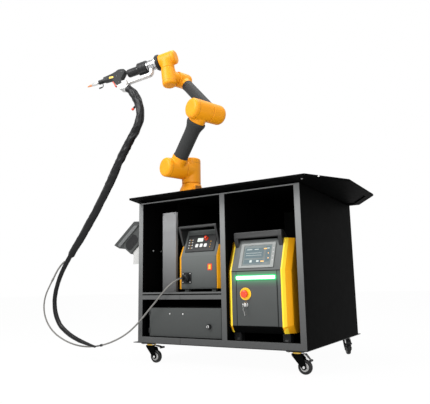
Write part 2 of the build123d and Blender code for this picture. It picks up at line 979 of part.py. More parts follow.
pendant_x = left_x - pendant_reach
pendant_y = front_y + pendant_setback
pendant_z = roof_z - pendant_drop
pendant_dir = Vector(cos(radians(pendant_slope)), 0, sin(radians(pendant_slope)))
pendant_plane = Plane((pendant_x, pendant_y, pendant_z), x_dir=pendant_dir, z_dir=(0, 1, 0))


def make_pendant():
    """Handheld teach pendant: a slanted slab with a grip behind it, seen from its end."""
    back = pendant_slab + grip_depth
    slant = (pendant_screen + pendant_top_cut - grip_end) / (back - pendant_top_cut)
    slab_end = pendant_screen + pendant_top_cut - slant * (pendant_slab - pendant_top_cut)
    with BuildPart() as teach_pendant:
        with BuildSketch(pendant_plane):
            Polygon(
                (0, 0),
                (pendant_screen, 0),
                (pendant_screen + pendant_top_cut, pendant_top_cut),
                (slab_end, pendant_slab),
                (pendant_foot_cut, pendant_slab),
                align=None,
            )
        extrude(amount=pendant_length)
        with BuildSketch(pendant_plane.offset(grip_inset)):
            Polygon(
                (grip_start, pendant_slab),
                (slab_end, pendant_slab),
                (grip_end, back),
                (grip_start + pendant_foot_cut, back),
                align=None,
            )
        extrude(amount=pendant_length - 2 * grip_inset)
    save(teach_pendant.part, "teach_pendant")


def make_pendant_bracket():
    """Two gusset plates and a wall plate that carry the pendant."""
    back = pendant_slab + grip_depth
    low = pendant_plane.from_local_coords((grip_start + pendant_foot_cut, back, 0))
    high = pendant_plane.from_local_coords((grip_end, back, 0))
    bottom = pendant_z - bracket_low
    outer = left_x - bracket_width
    slope = (high.Z - low.Z) / (high.X - low.X)
    front = pendant_y + bracket_inset
    rear = pendant_y + pendant_length - bracket_inset - bracket_sheet
    top = low.Z + slope * (left_x - bracket_sheet - low.X)
    with BuildPart() as pendant_bracket:
        for y in (front, rear):
            with BuildSketch(Plane((0, y, 0), x_dir=(1, 0, 0), z_dir=(0, -1, 0))):
                Polygon(
                    (outer, bottom),
                    (left_x - bracket_sheet, bottom),
                    (left_x - bracket_sheet, top),
                    (outer, low.Z + slope * (outer - low.X)),
                    align=None,
                )
            extrude(amount=-bracket_sheet)
        block((left_x - bracket_sheet, front, bottom), (left_x, rear + bracket_sheet, top))
    save(pendant_bracket.part, "pendant_bracket")


# Robot arm


def make_robot_base():
    """Foot of the arm: flange, flared body and the connector block at its side."""
    base_plane = Plane(base_point, x_dir=axis_dir, z_dir=up_dir)
    with BuildPart() as robot_base:
        with BuildSketch(Plane(base_point, x_dir=axis_dir, z_dir=-lean_dir)):
            Polygon(
                (0, 0),
                (base_radius, 0),
                (base_radius, base_flange),
                (base_radius - base_flange, base_flange),
                (module_radius, base_height - base_neck),
                (module_radius, base_height),
                (0, base_height),
                align=None,
            )
        revolve(axis=Axis(base_point, up_dir))
        with Locations(base_plane.offset(base_flange)):
            with Locations((0, 0, socket_block_height / 2)):
                with Locations(Rotation(0, 0, socket_block_turn)):
                    Box(
                        socket_block_reach,
                        socket_block_length,
                        socket_block_height,
                        align=(Align.MIN, Align.CENTER, Align.CENTER),
                    )
    save(robot_base.part, "robot_base")


def make_shoulder():
    """Turning column with its cap and the stub that carries the upper arm."""
    column_plane = Plane(base_point, x_dir=axis_dir, z_dir=up_dir)
    top = shoulder_height + column_top
    with BuildPart() as shoulder:
        drum(column_plane, base_height + joint_gap, top, module_radius)
        fillet(rim(shoulder, column_plane), module_round / 2)
        drum(shoulder_plane, 0, stub_reach, module_radius)
        seam(column_plane, top - 2 * module_round, module_radius)
    save(shoulder.part, "shoulder")


def make_upper_arm_shoulder():
    """Lower housing of the upper arm: a capped drum across and a neck along the arm."""
    with BuildPart() as upper_arm_shoulder:
        drum(
            upper_joint_plane,
            stub_reach + joint_gap - shoulder_offset,
            module_cap,
            module_radius,
        )
        fillet(rim(upper_arm_shoulder, upper_joint_plane), module_round)
        drum(upper_plane, 0, tube_start, neck_radius)
        seam(upper_joint_plane, module_cap - 2 * module_round, module_radius)
    save(upper_arm_shoulder.part, "upper_arm_shoulder")


def make_upper_arm_tube():
    """Straight tube of the upper arm with the flared collar under the elbow."""
    end = upper_arm_length - tube_start
    profile = [
        (0, tube_start),
        (upper_arm_tube_radius, tube_start),
        (upper_arm_tube_radius, end - collar_length - collar_flare),
        (collar_radius, end - collar_length),
        (collar_radius, end),
        (0, end),
    ]
    with BuildPart() as upper_arm_tube:
        with BuildSketch(Plane(upper_point, x_dir=axis_dir, z_dir=axis_dir.cross(upper_dir))):
            Polygon(*profile, align=None)
        revolve(axis=Axis(upper_point, upper_dir))
    save(upper_arm_tube.part, "upper_arm_tube")


def make_elbow():
    """Upper housing of the upper arm: a capped drum across the elbow on the collar."""
    end = upper_arm_length - tube_start
    with BuildPart() as elbow_housing:
        drum(elbow_plane, -elbow_face, module_cap, module_radius)
        fillet(rim(elbow_housing, elbow_plane), module_round)
        drum(upper_plane, end, upper_arm_length, collar_radius - seam_width)
        drum(elbow_plane, -elbow_face - module_radius, -elbow_face, 2 * module_radius, Mode.SUBTRACT)
        seam(elbow_plane, module_cap - 2 * module_round, module_radius)
    save(elbow_housing.part, "elbow_housing")


def make_forearm_elbow():
    """Lower housing of the forearm with its rounded end."""
    face = elbow_offset - elbow_face - joint_gap
    with BuildPart() as forearm_elbow:
        drum(fore_joint_plane, -forearm_cap, face, module_radius)
        fillet(rim(forearm_elbow, fore_joint_plane, last=False), 2 * module_round)
        drum(fore_plane, forearm_seat, 2 * module_radius, forearm_tube_radius, Mode.SUBTRACT)
    save(forearm_elbow.part, "forearm_elbow")


def make_forearm_tube():
    """Straight tube of the forearm, seated in its lower housing."""
    with BuildPart() as forearm_tube:
        drum(fore_plane, forearm_seat, forearm_length - wrist_neck, forearm_tube_radius)
    save(forearm_tube.part, "forearm_tube")


def make_forearm_wrist():
    """Upper housing of the forearm: a short drum across on a neck."""
    with BuildPart() as forearm_wrist:
        drum(wrist_plane, -wrist_cap, wrist_face, wrist_radius)
        fillet(rim(forearm_wrist, wrist_plane, last=False), module_round)
        drum(fore_plane, forearm_length - wrist_neck, forearm_length, forearm_tube_radius + seam_width)
    save(forearm_wrist.part, "forearm_wrist")


def make_wrist_1():
    """First wrist module: a drum across and an upright drum with a bottom cap."""
    with BuildPart() as wrist_1:
        drum(turn_plane, -wrist_drop, wrist_face_rise, wrist_module_radius)
        fillet(rim(wrist_1, turn_plane, last=False), wrist_module_round)
        drum(wrist_plane, wrist_face + joint_gap, wrist_offset, wrist_stub_radius)
        seam(turn_plane, -wrist_drop + 2 * wrist_module_round, wrist_module_radius)
    save(wrist_1.part, "wrist_1")


def make_wrist_2():
    """Second wrist module: a short upright drum under the hand drum."""
    with BuildPart() as wrist_2:
        drum(hand_plane, -hand_back, hand_face, wrist_module_radius)
        fillet(rim(wrist_2, hand_plane, last=False), wrist_module_round)
        drum(turn_plane, wrist_face_rise + joint_gap, wrist_rise, wrist_stub_radius)
        seam(hand_plane, -hand_back + 2 * wrist_module_round, wrist_module_radius)
    save(wrist_2.part, "wrist_2")


flange_start = hand_face + joint_gap
adapter_start = flange_start + flange_length + flange_ring_length
clamp_start = adapter_start + adapter_length
nose_start = clamp_start + clamp_length


def make_tool_flange():
    """Turning flange of the arm with its bright ring."""
    with BuildPart() as tool_flange:
        drum(hand_plane, flange_start, flange_start + flange_length, flange_radius)
        drum(hand_plane, flange_start + flange_length, adapter_start, flange_ring_radius)
    save(tool_flange.part, "tool_flange")


def make_tool_adapter():
    """Adapter on the flange with the bent bar that carries the torch clamp."""
    bar_middle = adapter_start + bar_root
    with BuildPart() as tool_adapter:
        drum(hand_plane, adapter_start, clamp_start, adapter_radius)
        with BuildSketch(tool_side_plane.offset(-bar_width / 2)) as bar:
            Polygon(
                (bar_middle - bar_thickness / 2, 0),
                (bar_middle + bar_thickness / 2, 0),
                (bar_middle + bar_thickness / 2, bar_thickness / 2 - bar_drop),
                (bar_end, bar_thickness / 2 - bar_drop),
                (bar_end, -bar_thickness / 2 - bar_drop),
                (bar_middle - bar_thickness / 2, -bar_thickness / 2 - bar_drop),
                align=None,
            )
            fillet(bar.vertices().sort_by_distance((bar_middle - bar_thickness / 2, -bar_drop))[0], bar_round)
        extrude(amount=bar_width)
    save(tool_adapter.part, "tool_adapter")


def make_tool_sensor():
    """Round clamp and slimmer nose in front of the adapter."""
    with BuildPart() as tool_sensor:
        drum(hand_plane, clamp_start, nose_start, clamp_radius)
        drum(hand_plane, nose_start, nose_start + nose_length, nose_radius)
        fillet(rim(tool_sensor, hand_plane), module_round / 4)
    save(tool_sensor.part, "tool_sensor")


torch_outline_shares = [
    (0.01, 0.79),
    (0.08, 0.935),
    (0.29, 1.0),
    (0.99, 0.88),
    (1.0, 0.49),
    (0.62, 0.49),
    (0.38, 0.0),
    (0.16, 0.04),
    (0.19, 0.35),
    (0.05, 0.6),
]
clamp_corner_shares = [(0.094, -0.347), (0.27, -0.282)]
clamp_rise_share = 0.42


def torch_point(shares):
    """Point of the torch outline in the tool's side plane."""
    return (torch_start + shares[0] * torch_length, torch_floor + shares[1] * torch_height)


def make_torch_body():
    """Pistol-shaped body of the welding torch."""
    with BuildPart() as torch_body:
        with BuildSketch(tool_side_plane.offset(-torch_width / 2)):
            Polygon(*[torch_point(shares) for shares in torch_outline_shares], align=None)
        extrude(amount=torch_width)
        chamfer(torch_body.faces().filter_by(Axis(hand_point, side_dir)).edges(), torch_round)
    save(torch_body.part, "torch_body")


def make_torch_nozzle():
    """Front collar, nozzle tube and tapered tip of the torch."""
    start = torch_start + torch_length
    nozzle_start = start + torch_collar_length
    end = nozzle_start + nozzle_length
    taper_share = 0.5
    axis_point = hand_point + wrist_dir * torch_axis
    profile = [
        (0, start),
        (torch_collar_radius, start),
        (torch_collar_radius, nozzle_start),
        (nozzle_radius, nozzle_start),
        (nozzle_radius, nozzle_start + nozzle_length * taper_share),
        (nozzle_tip_radius, end),
        (0, end),
    ]
    with BuildPart() as torch_nozzle:
        with BuildSketch(Plane(axis_point, x_dir=wrist_dir, z_dir=wrist_dir.cross(tool_dir))):
            Polygon(*profile, align=None)
        revolve(axis=Axis(axis_point, tool_dir))
    save(torch_nozzle.part, "torch_nozzle")


trigger_top = Vector(*torch_point(torch_outline_shares[5]))
trigger_foot = Vector(*torch_point(torch_outline_shares[6]))
trigger_dir = (trigger_foot - trigger_top).normalized()
trigger_out = Vector(-trigger_dir.Y, trigger_dir.X)
trigger_start = trigger_top + trigger_dir * trigger_thickness + trigger_out * trigger_gap


def make_torch_trigger():
    """Trigger lever in front of the grip, standing off it at its lower end."""
    end = trigger_start + (trigger_dir * trigger_length) + (trigger_out * trigger_swing)
    corners = [
        trigger_start,
        end,
        end + trigger_out * trigger_thickness,
        trigger_start + trigger_out * trigger_thickness,
    ]
    with BuildPart() as torch_trigger:
        with BuildSketch(tool_side_plane.offset(-trigger_width / 2)):
            Polygon(*[(point.X, point.Y) for point in corners], align=None)
        extrude(amount=trigger_width)
    save(torch_trigger.part, "torch_trigger")


clamp_low = -bar_drop - bar_thickness
clamp_high = -bar_drop + bar_thickness / 2
clamp_tail = torch_point(clamp_corner_shares[0])
clamp_face_middle = ((bar_end + clamp_tail[0]) / 2, (clamp_low + clamp_tail[1]) / 2)
clamp_face_dir = Vector(clamp_tail[0] - bar_end, clamp_tail[1] - clamp_low).normalized()
clamp_face_out = Vector(clamp_face_dir.Y, -clamp_face_dir.X)


def make_torch_clamp():
    """Clamp block between the bar and the foot of the grip."""
    grip_foot = Vector(*torch_point(torch_outline_shares[7]))
    grip_rear = Vector(*torch_point(torch_outline_shares[8]))
    grip_meet = grip_foot + (grip_rear - grip_foot) * clamp_rise_share
    with BuildPart() as torch_clamp:
        with BuildSketch(tool_side_plane.offset(-block_width / 2)):
            Polygon(
                torch_point(torch_outline_shares[6]),
                torch_point(torch_outline_shares[7]),
                (grip_meet.X, grip_meet.Y),
                (bar_end, clamp_high),
                (bar_end, clamp_low),
                clamp_tail,
                torch_point(clamp_corner_shares[1]),
                align=None,
            )
        extrude(amount=block_width)
    save(torch_clamp.part, "torch_clamp")


# Cords


def eased_route(route, shift):
    """Route whose start follows a moved outlet while its end stays where it is."""
    backwards = [
        Vector(*point) + shift * (place / len(route)) for place, point in enumerate(reversed(route))
    ]
    return list(reversed(backwards))


sleeve_start = tool_point(clamp_face_middle, clamp_face_out, cord_gap)
sleeve_lead = tool_point(clamp_face_middle, clamp_face_out, sleeve_run)
sleeve_points = [sleeve_start, sleeve_lead] + eased_route(sleeve_route, sleeve_start - Vector(*sleeve_outlet))
conduit_start = feeder_socket_plane.offset(feeder_socket_length).origin
conduit_lead = feeder_socket_plane.offset(feeder_socket_length + conduit_run).origin
conduit_points = [conduit_start, conduit_lead] + eased_route(
    conduit_route, conduit_start - Vector(*conduit_outlet)
)


def route_radii(points):
    """Largest arc at each corner of a route that its two runs leave room for."""
    share = 0.45
    radii = []
    for before, corner, after in zip(points, points[1:], points[2:]):
        first = Vector(corner) - Vector(before)
        second = Vector(after) - Vector(corner)
        turn = radians(first.get_angle(second))
        radii.append(share * min(first.length, second.length) / tan(turn / 2))
    return radii


def make_cord(points, radius, name):
    """Round tube along straight runs joined by tangent arcs."""
    radii = route_radii(points)
    print(name, "radii", [round(value) for value in radii])
    with BuildPart() as cord:
        with BuildLine() as route:
            FilletPolyline(*points, radius=radii)
        start_dir = Vector(points[1]) - Vector(points[0])
        with BuildSketch(Plane(points[0], z_dir=start_dir)):
            Circle(radius)
        sweep()
    length = sum(edge.length for edge in route.edges())
    filled_share = cord.part.volume / (length * pi * radius**2)
    print(name, "length", round(length), "filled share", round(filled_share, 4))
    save(cord.part, name)


make_base_plate()
make_front_posts()
make_front_rails()
make_side_panels()
make_back_panel()
make_partition()
make_shelf()
make_divider()
make_table()
make_caster_plates()
make_caster_rings()
for caster_plane, caster_slope, caster_name in zip(caster_planes(), pedal_slopes, caster_names):
    make_fork(caster_plane, caster_slope, caster_name)
    make_wheel(caster_plane, caster_name)
make_laser_housing()
make_laser_covers()
make_laser_handle()
make_laser_screen()
make_laser_light()
make_stop_collar()
make_stop_button()
make_key_switch()
make_laser_feet()
make_feeder_housing()
make_feeder_covers()
make_feeder_hood()
make_feeder_panel()
make_feeder_socket()
make_feeder_switch()
make_tall_box()
make_control_box()
make_control_door()
make_pendant()
make_pendant_bracket()
make_robot_base()
make_shoulder()
make_upper_arm_shoulder()
make_upper_arm_tube()
make_elbow()
make_forearm_elbow()
make_forearm_tube()
make_forearm_wrist()
make_wrist_1()
make_wrist_2()
make_tool_flange()
make_tool_adapter()
make_tool_sensor()
make_torch_body()
make_torch_nozzle()
make_torch_trigger()
make_torch_clamp()
make_cord(sleeve_points, sleeve_radius, "hose_sleeve")
make_cord(conduit_points, conduit_radius, "feed_conduit")
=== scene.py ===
"""Looks of the robot arm welding workstation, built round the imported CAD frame.

Shapes are drawn in mm in the shared frame. The shape functions add to one open
mesh; piece() closes it, turns it into metres and opens the next one.
"""
import json
from math import copysign, cos, pi, radians, sin
import bmesh
import bpy
from mathutils import Matrix, Vector, noise


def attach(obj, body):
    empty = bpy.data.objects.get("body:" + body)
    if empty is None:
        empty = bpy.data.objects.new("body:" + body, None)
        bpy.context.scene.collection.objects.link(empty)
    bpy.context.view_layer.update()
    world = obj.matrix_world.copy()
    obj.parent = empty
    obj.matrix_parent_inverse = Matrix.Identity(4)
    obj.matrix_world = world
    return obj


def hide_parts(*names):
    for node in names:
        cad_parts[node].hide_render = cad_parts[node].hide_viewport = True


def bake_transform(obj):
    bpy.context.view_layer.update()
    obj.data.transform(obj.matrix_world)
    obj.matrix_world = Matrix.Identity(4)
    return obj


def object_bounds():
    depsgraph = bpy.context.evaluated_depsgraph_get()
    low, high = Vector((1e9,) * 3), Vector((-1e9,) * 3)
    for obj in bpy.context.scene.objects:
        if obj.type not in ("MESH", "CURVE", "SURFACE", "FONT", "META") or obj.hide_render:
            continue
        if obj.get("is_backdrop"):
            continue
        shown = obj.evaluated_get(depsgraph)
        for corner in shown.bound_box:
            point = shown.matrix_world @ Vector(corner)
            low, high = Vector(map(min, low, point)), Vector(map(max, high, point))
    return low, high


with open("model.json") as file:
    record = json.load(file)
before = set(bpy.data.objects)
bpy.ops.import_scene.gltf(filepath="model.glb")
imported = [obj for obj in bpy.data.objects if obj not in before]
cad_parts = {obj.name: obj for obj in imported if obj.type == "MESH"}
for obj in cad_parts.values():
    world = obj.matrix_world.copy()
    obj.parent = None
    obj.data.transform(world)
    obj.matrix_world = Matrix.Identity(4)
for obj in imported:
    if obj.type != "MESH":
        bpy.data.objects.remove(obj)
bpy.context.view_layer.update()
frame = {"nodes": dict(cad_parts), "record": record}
scene = bpy.context.scene
scene.view_settings.view_transform = "Standard"
METRE = 0.001


def linked(name, data):
    """New object in the scene."""
    made = bpy.data.objects.new(name, data)
    scene.collection.objects.link(made)
    return made


# Camera, fitted to the photo's cabinet edges

PHOTO_WIDTH, FOCAL_PIXELS, SENSOR_WIDTH = 430, 482.86, 36
CAMERA_PLACE = (1.4701, -2.854, 0.4455)
YAW, PITCH, ROLL = radians(31.23), radians(10.02), radians(-1.05)
camera_data = bpy.data.cameras.new("camera")
camera_data.sensor_width = SENSOR_WIDTH
camera_data.lens = FOCAL_PIXELS / PHOTO_WIDTH * SENSOR_WIDTH
camera_data.clip_end = 60
camera = linked("camera", camera_data)
aim = Matrix.Rotation(YAW, 4, "Z") @ Matrix.Rotation(pi / 2 + PITCH, 4, "X") @ Matrix.Rotation(ROLL, 4, "Z")
camera.matrix_world = Matrix.Translation(CAMERA_PLACE) @ aim
scene.camera = camera

# Materials


def wire(tree, node, inputs):
    """Feeds a node's inputs, each from a socket or with a constant."""
    for key, value in inputs.items():
        if isinstance(value, bpy.types.NodeSocket):
            tree.links.new(value, node.inputs[key])
        else:
            node.inputs[key].default_value = value


def add(tree, kind, inputs={}, **settings):
    """New shader node with its settings and inputs."""
    node = tree.nodes.new("ShaderNode" + kind)
    for key, value in settings.items():
        setattr(node, key, value)
    wire(tree, node, inputs)
    return node


def ramp(tree, factor, stops):
    """Colour ramp over a factor, from pairs of a place and a colour or grey."""
    node = add(tree, "ValToRGB", {"Fac": factor})
    elements = node.color_ramp.elements
    for number, (position, color) in enumerate(stops):
        stop = elements[number] if number < 2 else elements.new(position)
        stop.position = position
        stop.color = (*(color if isinstance(color, list) else [color] * 3), 1)
    return node.outputs["Color"]


def material(name, color, rough=0.5, metal=0.0, grain=0.0, grain_scale=400.0, mottle=0.06, extra={}, wear=None,
             rise=None):
    """Painted or bare surface with faint mottling, uneven gloss, fine grain and worn edges, and, where a height ramp is
    given, painted light and shade that darkens it towards the bottom.
    """
    made = bpy.data.materials.new(name)
    made.use_nodes = True
    tree = made.node_tree
    place = add(tree, "TexCoord").outputs["Object"]

    def cloud(scale, detail):
        return add(tree, "TexNoise", {"Vector": place, "Scale": scale, "Detail": detail}).outputs["Fac"]

    def mixed(factor, first, second, **settings):
        inputs = {"Factor": factor, "A": first, "B": second}
        return add(tree, "Mix", inputs, data_type="RGBA", **settings).outputs["Result"]

    darker = [channel * (1 - mottle) for channel in color]
    lighter = [min(1.0, channel * (1 + mottle)) for channel in color]
    tint = ramp(tree, cloud(9.0, 6.0), ((0.3, darker), (0.7, lighter)))
    if wear:
        tone, amount = wear
        edges = add(tree, "NewGeometry").outputs["Pointiness"]
        spread = add(tree, "Math", {0: cloud(60.0, 6.0), 1: 0.25, 2: edges}, operation="MULTIPLY_ADD").outputs[0]
        pick = add(tree, "MapRange", {"Value": spread, "From Min": 0.70, "From Max": 0.82, "To Max": amount})
        tint = mixed(pick.outputs["Result"], tint, (*tone, 1))
    # Painted light and shade: the colour is multiplied by a ramp over the height, lighter at the top
    if rise:
        painted_shade = ramp(tree, add(tree, "SeparateXYZ", {0: place}).outputs["Z"], rise)
        tint = mixed(1.0, tint, painted_shade, blend_type="MULTIPLY")
    smooth, coarse = max(0.04, rough - 0.05), min(1.0, rough + 0.05)
    gloss = add(tree, "MapRange", {"Value": cloud(25.0, 5.0), "To Min": smooth, "To Max": coarse})
    shader = tree.nodes["Principled BSDF"]
    wire(tree, shader, {"Base Color": tint, "Metallic": metal, "Roughness": gloss.outputs["Result"], **extra})
    if grain:
        bump = add(tree, "Bump", {"Height": cloud(grain_scale, 2.0), "Strength": grain, "Distance": 0.0004})
        wire(tree, shader, {"Normal": bump.outputs["Normal"]})
    return made


def shine(level):
    """Shader input for a weaker reflection than usual."""
    return {"Specular IOR Level": level}


def lit(color, strength):
    """Shader inputs of a surface that gives light."""
    return {"Emission Color": (*color, 1), "Emission Strength": strength}


dull = shine(0.25)
# Painted light and shade for the boxes: darker towards the bottom
box_painted_shade = ((0.12, 0.24), (0.35, 0.36), (0.50, 0.48), (0.65, 0.75), (0.95, 1.0))
# Colour, roughness, metal, grain, grain scale, mottle, shader inputs, worn edges, painted light and shade by height in
# m
finishes = {
    # The frame's front pieces grow darker towards the bottom: painted light and shade from the height ramp
    "frame_steel": ((0.215, 0.22, 0.22), 0.45, 0, 0.06, 900, 0.015, dull, None,
                    ((0.12, 0.27), (0.45, 0.42), (0.75, 0.85), (0.98, 1.0))),
    "panel_black": ((0.0024, 0.0025, 0.0025), 0.6, 0, 0.1, 700, 0.1, shine(0.008)),
    # Box grey, darker towards the bottom: painted light and shade
    "box_grey": ((0.155, 0.167, 0.163), 0.5, 0, 0.08, 800, 0.02, dull, None, box_painted_shade),
    # Lighter, lit copy of the box grey for the tall box, darker towards the bottom: painted light and shade
    "lit_tall_grey": ((0.55, 0.557, 0.565), 0.5, 0, 0.08, 800, 0.02, dull, None,
                  ((0.42, 0.17), (0.60, 0.275), (0.80, 0.49), (0.93, 1.0))),
    "satin_black": ((0.009, 0.0094, 0.0094), 0.48, 0, 0.15, 600, 0.12, shine(0.3)),
    "soft_black": ((0.0135, 0.014, 0.014), 0.42, 0, 0.2, 1200, 0.05),
    "chrome": ((0.52, 0.52, 0.52), 0.2, 1, 0.03, 300, 0.15),
    "robot_yellow": ((0.77, 0.292, 0.005), 0.42, 0, 0.03, 500, 0.02, dull),
    "arm_grey": ((0.030, 0.031, 0.031), 0.55, 0, 0.05, 600, 0.03, shine(0.12)),
    "cover_yellow": ((0.84, 0.37, 0.006), 0.4, 0, 0.05, 700, 0.02, dull),
    # Lighter copy of the cover yellow: painted highlight for the covers' front edges
    "lit_edge_yellow": ((0.95, 0.66, 0.035), 0.4, 0, 0.05, 700, 0.02, dull),
    "black_plastic": ((0.011, 0.0115, 0.012), 0.45, 0, 0.2, 1200, 0.06, dull, ((0.08, 0.08, 0.08), 0.3)),
    "grey_plastic": ((0.165, 0.178, 0.170), 0.35, 0, 0.12, 1200, 0.04),
    "pendant_grey": ((0.052, 0.055, 0.054), 0.38, 0, 0.12, 1200, 0.04, dull),
    "bezel_grey": ((0.115, 0.12, 0.12), 0.42, 0, 0.1, 1200),
    "hub_grey": ((0.48, 0.48, 0.47), 0.4, 0, 0.1),
    "bright_steel": ((0.66, 0.66, 0.65), 0.28, 1, 0.1, 900),
    "white_aluminium": ((0.62, 0.62, 0.61), 0.35, 0.3, 0.05, 900, 0.03),
    "copper": ((0.80, 0.33, 0.14), 0.3, 1, 0.1, 900),
    "zinc_yellow": ((0.62, 0.40, 0.08), 0.35, 0.8, 0.2, 700),
    "tyre_black": ((0.009, 0.009, 0.009), 0.5, 0, 0.3, 500, 0.06, dull),
    "red_plastic": ((0.80, 0.055, 0.015), 0.3, 0, 0.05, 400, 0.04),
    "signal_yellow": ((0.87, 0.50, 0.015), 0.35, 0, 0.05, 400, 0.04),
    "seam_dark": ((0.30, 0.11, 0.003), 0.6, 0, 0.05),
    "sleeve_fabric": ((0.0045, 0.0045, 0.005), 0.36, 0, 0.8, 160, 0.06, shine(0.2)),
    "conduit_grey": ((0.16, 0.155, 0.145), 0.45, 0, 0.1),
    "light_green": ((0.02, 0.30, 0.10), 0.3, 0, 0, 400, 0.06, lit((0.04, 1.0, 0.27), 0.85)),
    "light_core": ((0.8, 1.0, 0.9), 0.3, 0, 0, 400, 0.06, lit((0.72, 1.0, 0.82), 1.5)),
    "display_white": ((0.75, 0.82, 0.75), 0.3, 0, 0, 400, 0.06, lit((0.7, 0.85, 0.7), 0.25)),
    "screen_glass": ((0.10, 0.13, 0.13), 0.16, 0, 0, 400, 0.2, shine(0.15)),
    "screen_tint": ((0.055, 0.095, 0.108), 0.2, 0, 0, 400, 0.06, shine(0.15)),
    "screen_light": ((0.35, 0.42, 0.40), 0.25),
    "lamp_amber": ((0.85, 0.42, 0.03), 0.3),
    "key_white": ((0.72, 0.73, 0.72), 0.4, 0, 0.05),
}
finishes["painted_bar_glow"] = finishes["box_grey"]
paint = {name: material(name, *finish) for name, finish in finishes.items()}

# Painted light from the light bar: the laser source's front paint glows, fading with the distance from the bar
BAR_X, BAR_Z, BAR_REACH = 0.263, 0.495, 0.112
tree = paint["painted_bar_glow"].node_tree
split = add(tree, "SeparateXYZ", {0: add(tree, "TexCoord").outputs["Object"]})
apart = add(tree, "CombineXYZ")
for axis, middle, reach in (("X", BAR_X, BAR_REACH), ("Z", BAR_Z, 0.0)):
    found = split.outputs[axis]
    for operation, value in (("SUBTRACT", middle), ("ABSOLUTE", 0.0), ("SUBTRACT", reach), ("MAXIMUM", 0.0)):
        found = add(tree, "Math", {0: found, 1: value}, operation=operation).outputs[0]
    wire(tree, apart, {axis: found})
away = add(tree, "VectorMath", {0: apart.outputs[0]}, operation="LENGTH").outputs["Value"]
painted_glow = ramp(tree, away, ((0.010, 0.5), (0.054, 0.0), (0.017, 0.24), (0.028, 0.10), (0.040, 0.035)))
wire(tree, tree.nodes["Principled BSDF"], {"Emission Color": (0.03, 0.9, 0.25, 1), "Emission Strength": painted_glow})


def modify(made, kind, **settings):
    """New modifier with its settings."""
    modifier = made.modifiers.new(kind.lower(), kind)
    for key, value in settings.items():
        setattr(modifier, key, value)


def round_edges(made, width, angle=35):
    """Bevel in mm on the edges that are sharper than an angle."""
    modify(made, "BEVEL", width=width * METRE, segments=3, limit_method="ANGLE", angle_limit=radians(angle),
           harden_normals=True)


slot_of = {row["node"]: row["material_slot"] for row in frame["record"]["subparts"]}
node_bevels = {
    "front_rails": 1.5, "shelf": 0.8, "table_top": 1.5, "control_box": 0.8, "control_box_door": 1.2, "tall_box": 1,
    "laser_housing": 2, "laser_covers": 4, "laser_handle": 6, "feeder_housing": 2, "feeder_covers": 3, "feeder_hood": 4,
    "feeder_panel": 0.8, "feeder_socket": 1, "pendant_bracket": 0.8, "teach_pendant": 5, "base_plate": 0.8,
    "side_panels": 0.8, "caster_plates": 0.8, "laser_feet": 2, "laser_stop_collar": 1.2,
}
# The tall box takes the lit copy of the box grey: painted light
shaded_nodes = {
    "front_posts": "panel_black", "front_rails": "panel_black", "shelf": "panel_black", "tall_box": "lit_tall_grey",
    "teach_pendant": "pendant_grey", "pendant_bracket": "hub_grey", "base_plate": "arm_grey",
    "back_panel": "satin_black", "laser_handle": "soft_black", "feeder_hood": "soft_black",
}
for name, node in frame["nodes"].items():
    node.data.materials.clear()
    node.data.materials.append(paint[shaded_nodes.get(name, slot_of[name])])
    if name in node_bevels:
        modify(node, "WELD", merge_threshold=0.00001)
        round_edges(node, node_bevels[name])

# Shapes

work = bmesh.new()


def basis(origin, along, across):
    """Matrix whose z runs along one direction and whose x leans to another."""
    z = Vector(along).normalized()
    x = Vector(across)
    x = (x - z * x.dot(z)).normalized()
    return Matrix.Translation(Vector(origin)) @ Matrix((x, z.cross(x), z)).transposed().to_4x4()


def to_front(x, y, z):
    """Place that looks to the front, with x to the right."""
    return basis((x, y, z), (0, -1, 0), (1, 0, 0))


def to_right(height):
    """Place at a height that looks to the right, with x to the back."""
    return basis((0, 0, height), (1, 0, 0), (0, 1, 0))


def moved(place, x, y, z=0):
    """Place moved along its own axes."""
    return place @ Matrix.Translation((x, y, z))


def turned(place, degrees, axis="Z"):
    """Place turned round one of its own axes."""
    return place @ Matrix.Rotation(radians(degrees), 4, axis)


def polar(radius, degrees):
    """Point on a circle."""
    return radius * cos(radians(degrees)), radius * sin(radians(degrees))


def circle(radius, steps=16):
    """Outline of a circle."""
    turns = [2 * pi * step / steps for step in range(steps)]
    return [(radius * cos(t), radius * sin(t)) for t in turns]


def rounded(width, height, radius, steps=5, middle=(0, 0)):
    """Outline of a rectangle with round corners."""
    points = []
    for corner, (sign_x, sign_y) in enumerate(((1, 1), (-1, 1), (-1, -1), (1, -1))):
        for step in range(steps + 1):
            angle = pi / 2 * (corner + step / steps)
            points.append((
                middle[0] + sign_x * (width / 2 - radius) + radius * cos(angle),
                middle[1] + sign_y * (height / 2 - radius) + radius * sin(angle),
            ))
    return points


def drum(radius, start, end, low=0.0, high=0.0, steps=6):
    """Closed drum profile with rounded rims."""
    turns = [pi / 2 * step / steps for step in range(steps + 1)]
    foot, head = [(radius, start)], [(radius, end)]
    if low:
        foot = [(radius - low + low * sin(t), start + low - low * cos(t)) for t in turns]
    if high:
        head = [(radius - high + high * cos(t), end - high + high * sin(t)) for t in turns]
    return [(0, start), *foot, *head, (0, end)]


def arc_points(corner, before, after, radius, steps=6):
    """Rounded corner of a bent bar or rod."""
    start = corner + (before - corner).normalized() * radius
    end = corner + (after - corner).normalized() * radius
    shares = [step / steps for step in range(steps + 1)]
    return [start * (1 - t) ** 2 + corner * 2 * t * (1 - t) + end * t**2 for t in shares]


def skin(rings):
    """Faces between neighbouring rings; a ring may be one point."""
    for low, high in zip(rings, rings[1:]):
        for step in range(len(low)):
            after = (step + 1) % len(low)
            corners = dict.fromkeys((low[step], low[after], high[after], high[step]))
            if len(corners) > 2:
                work.faces.new(list(corners))


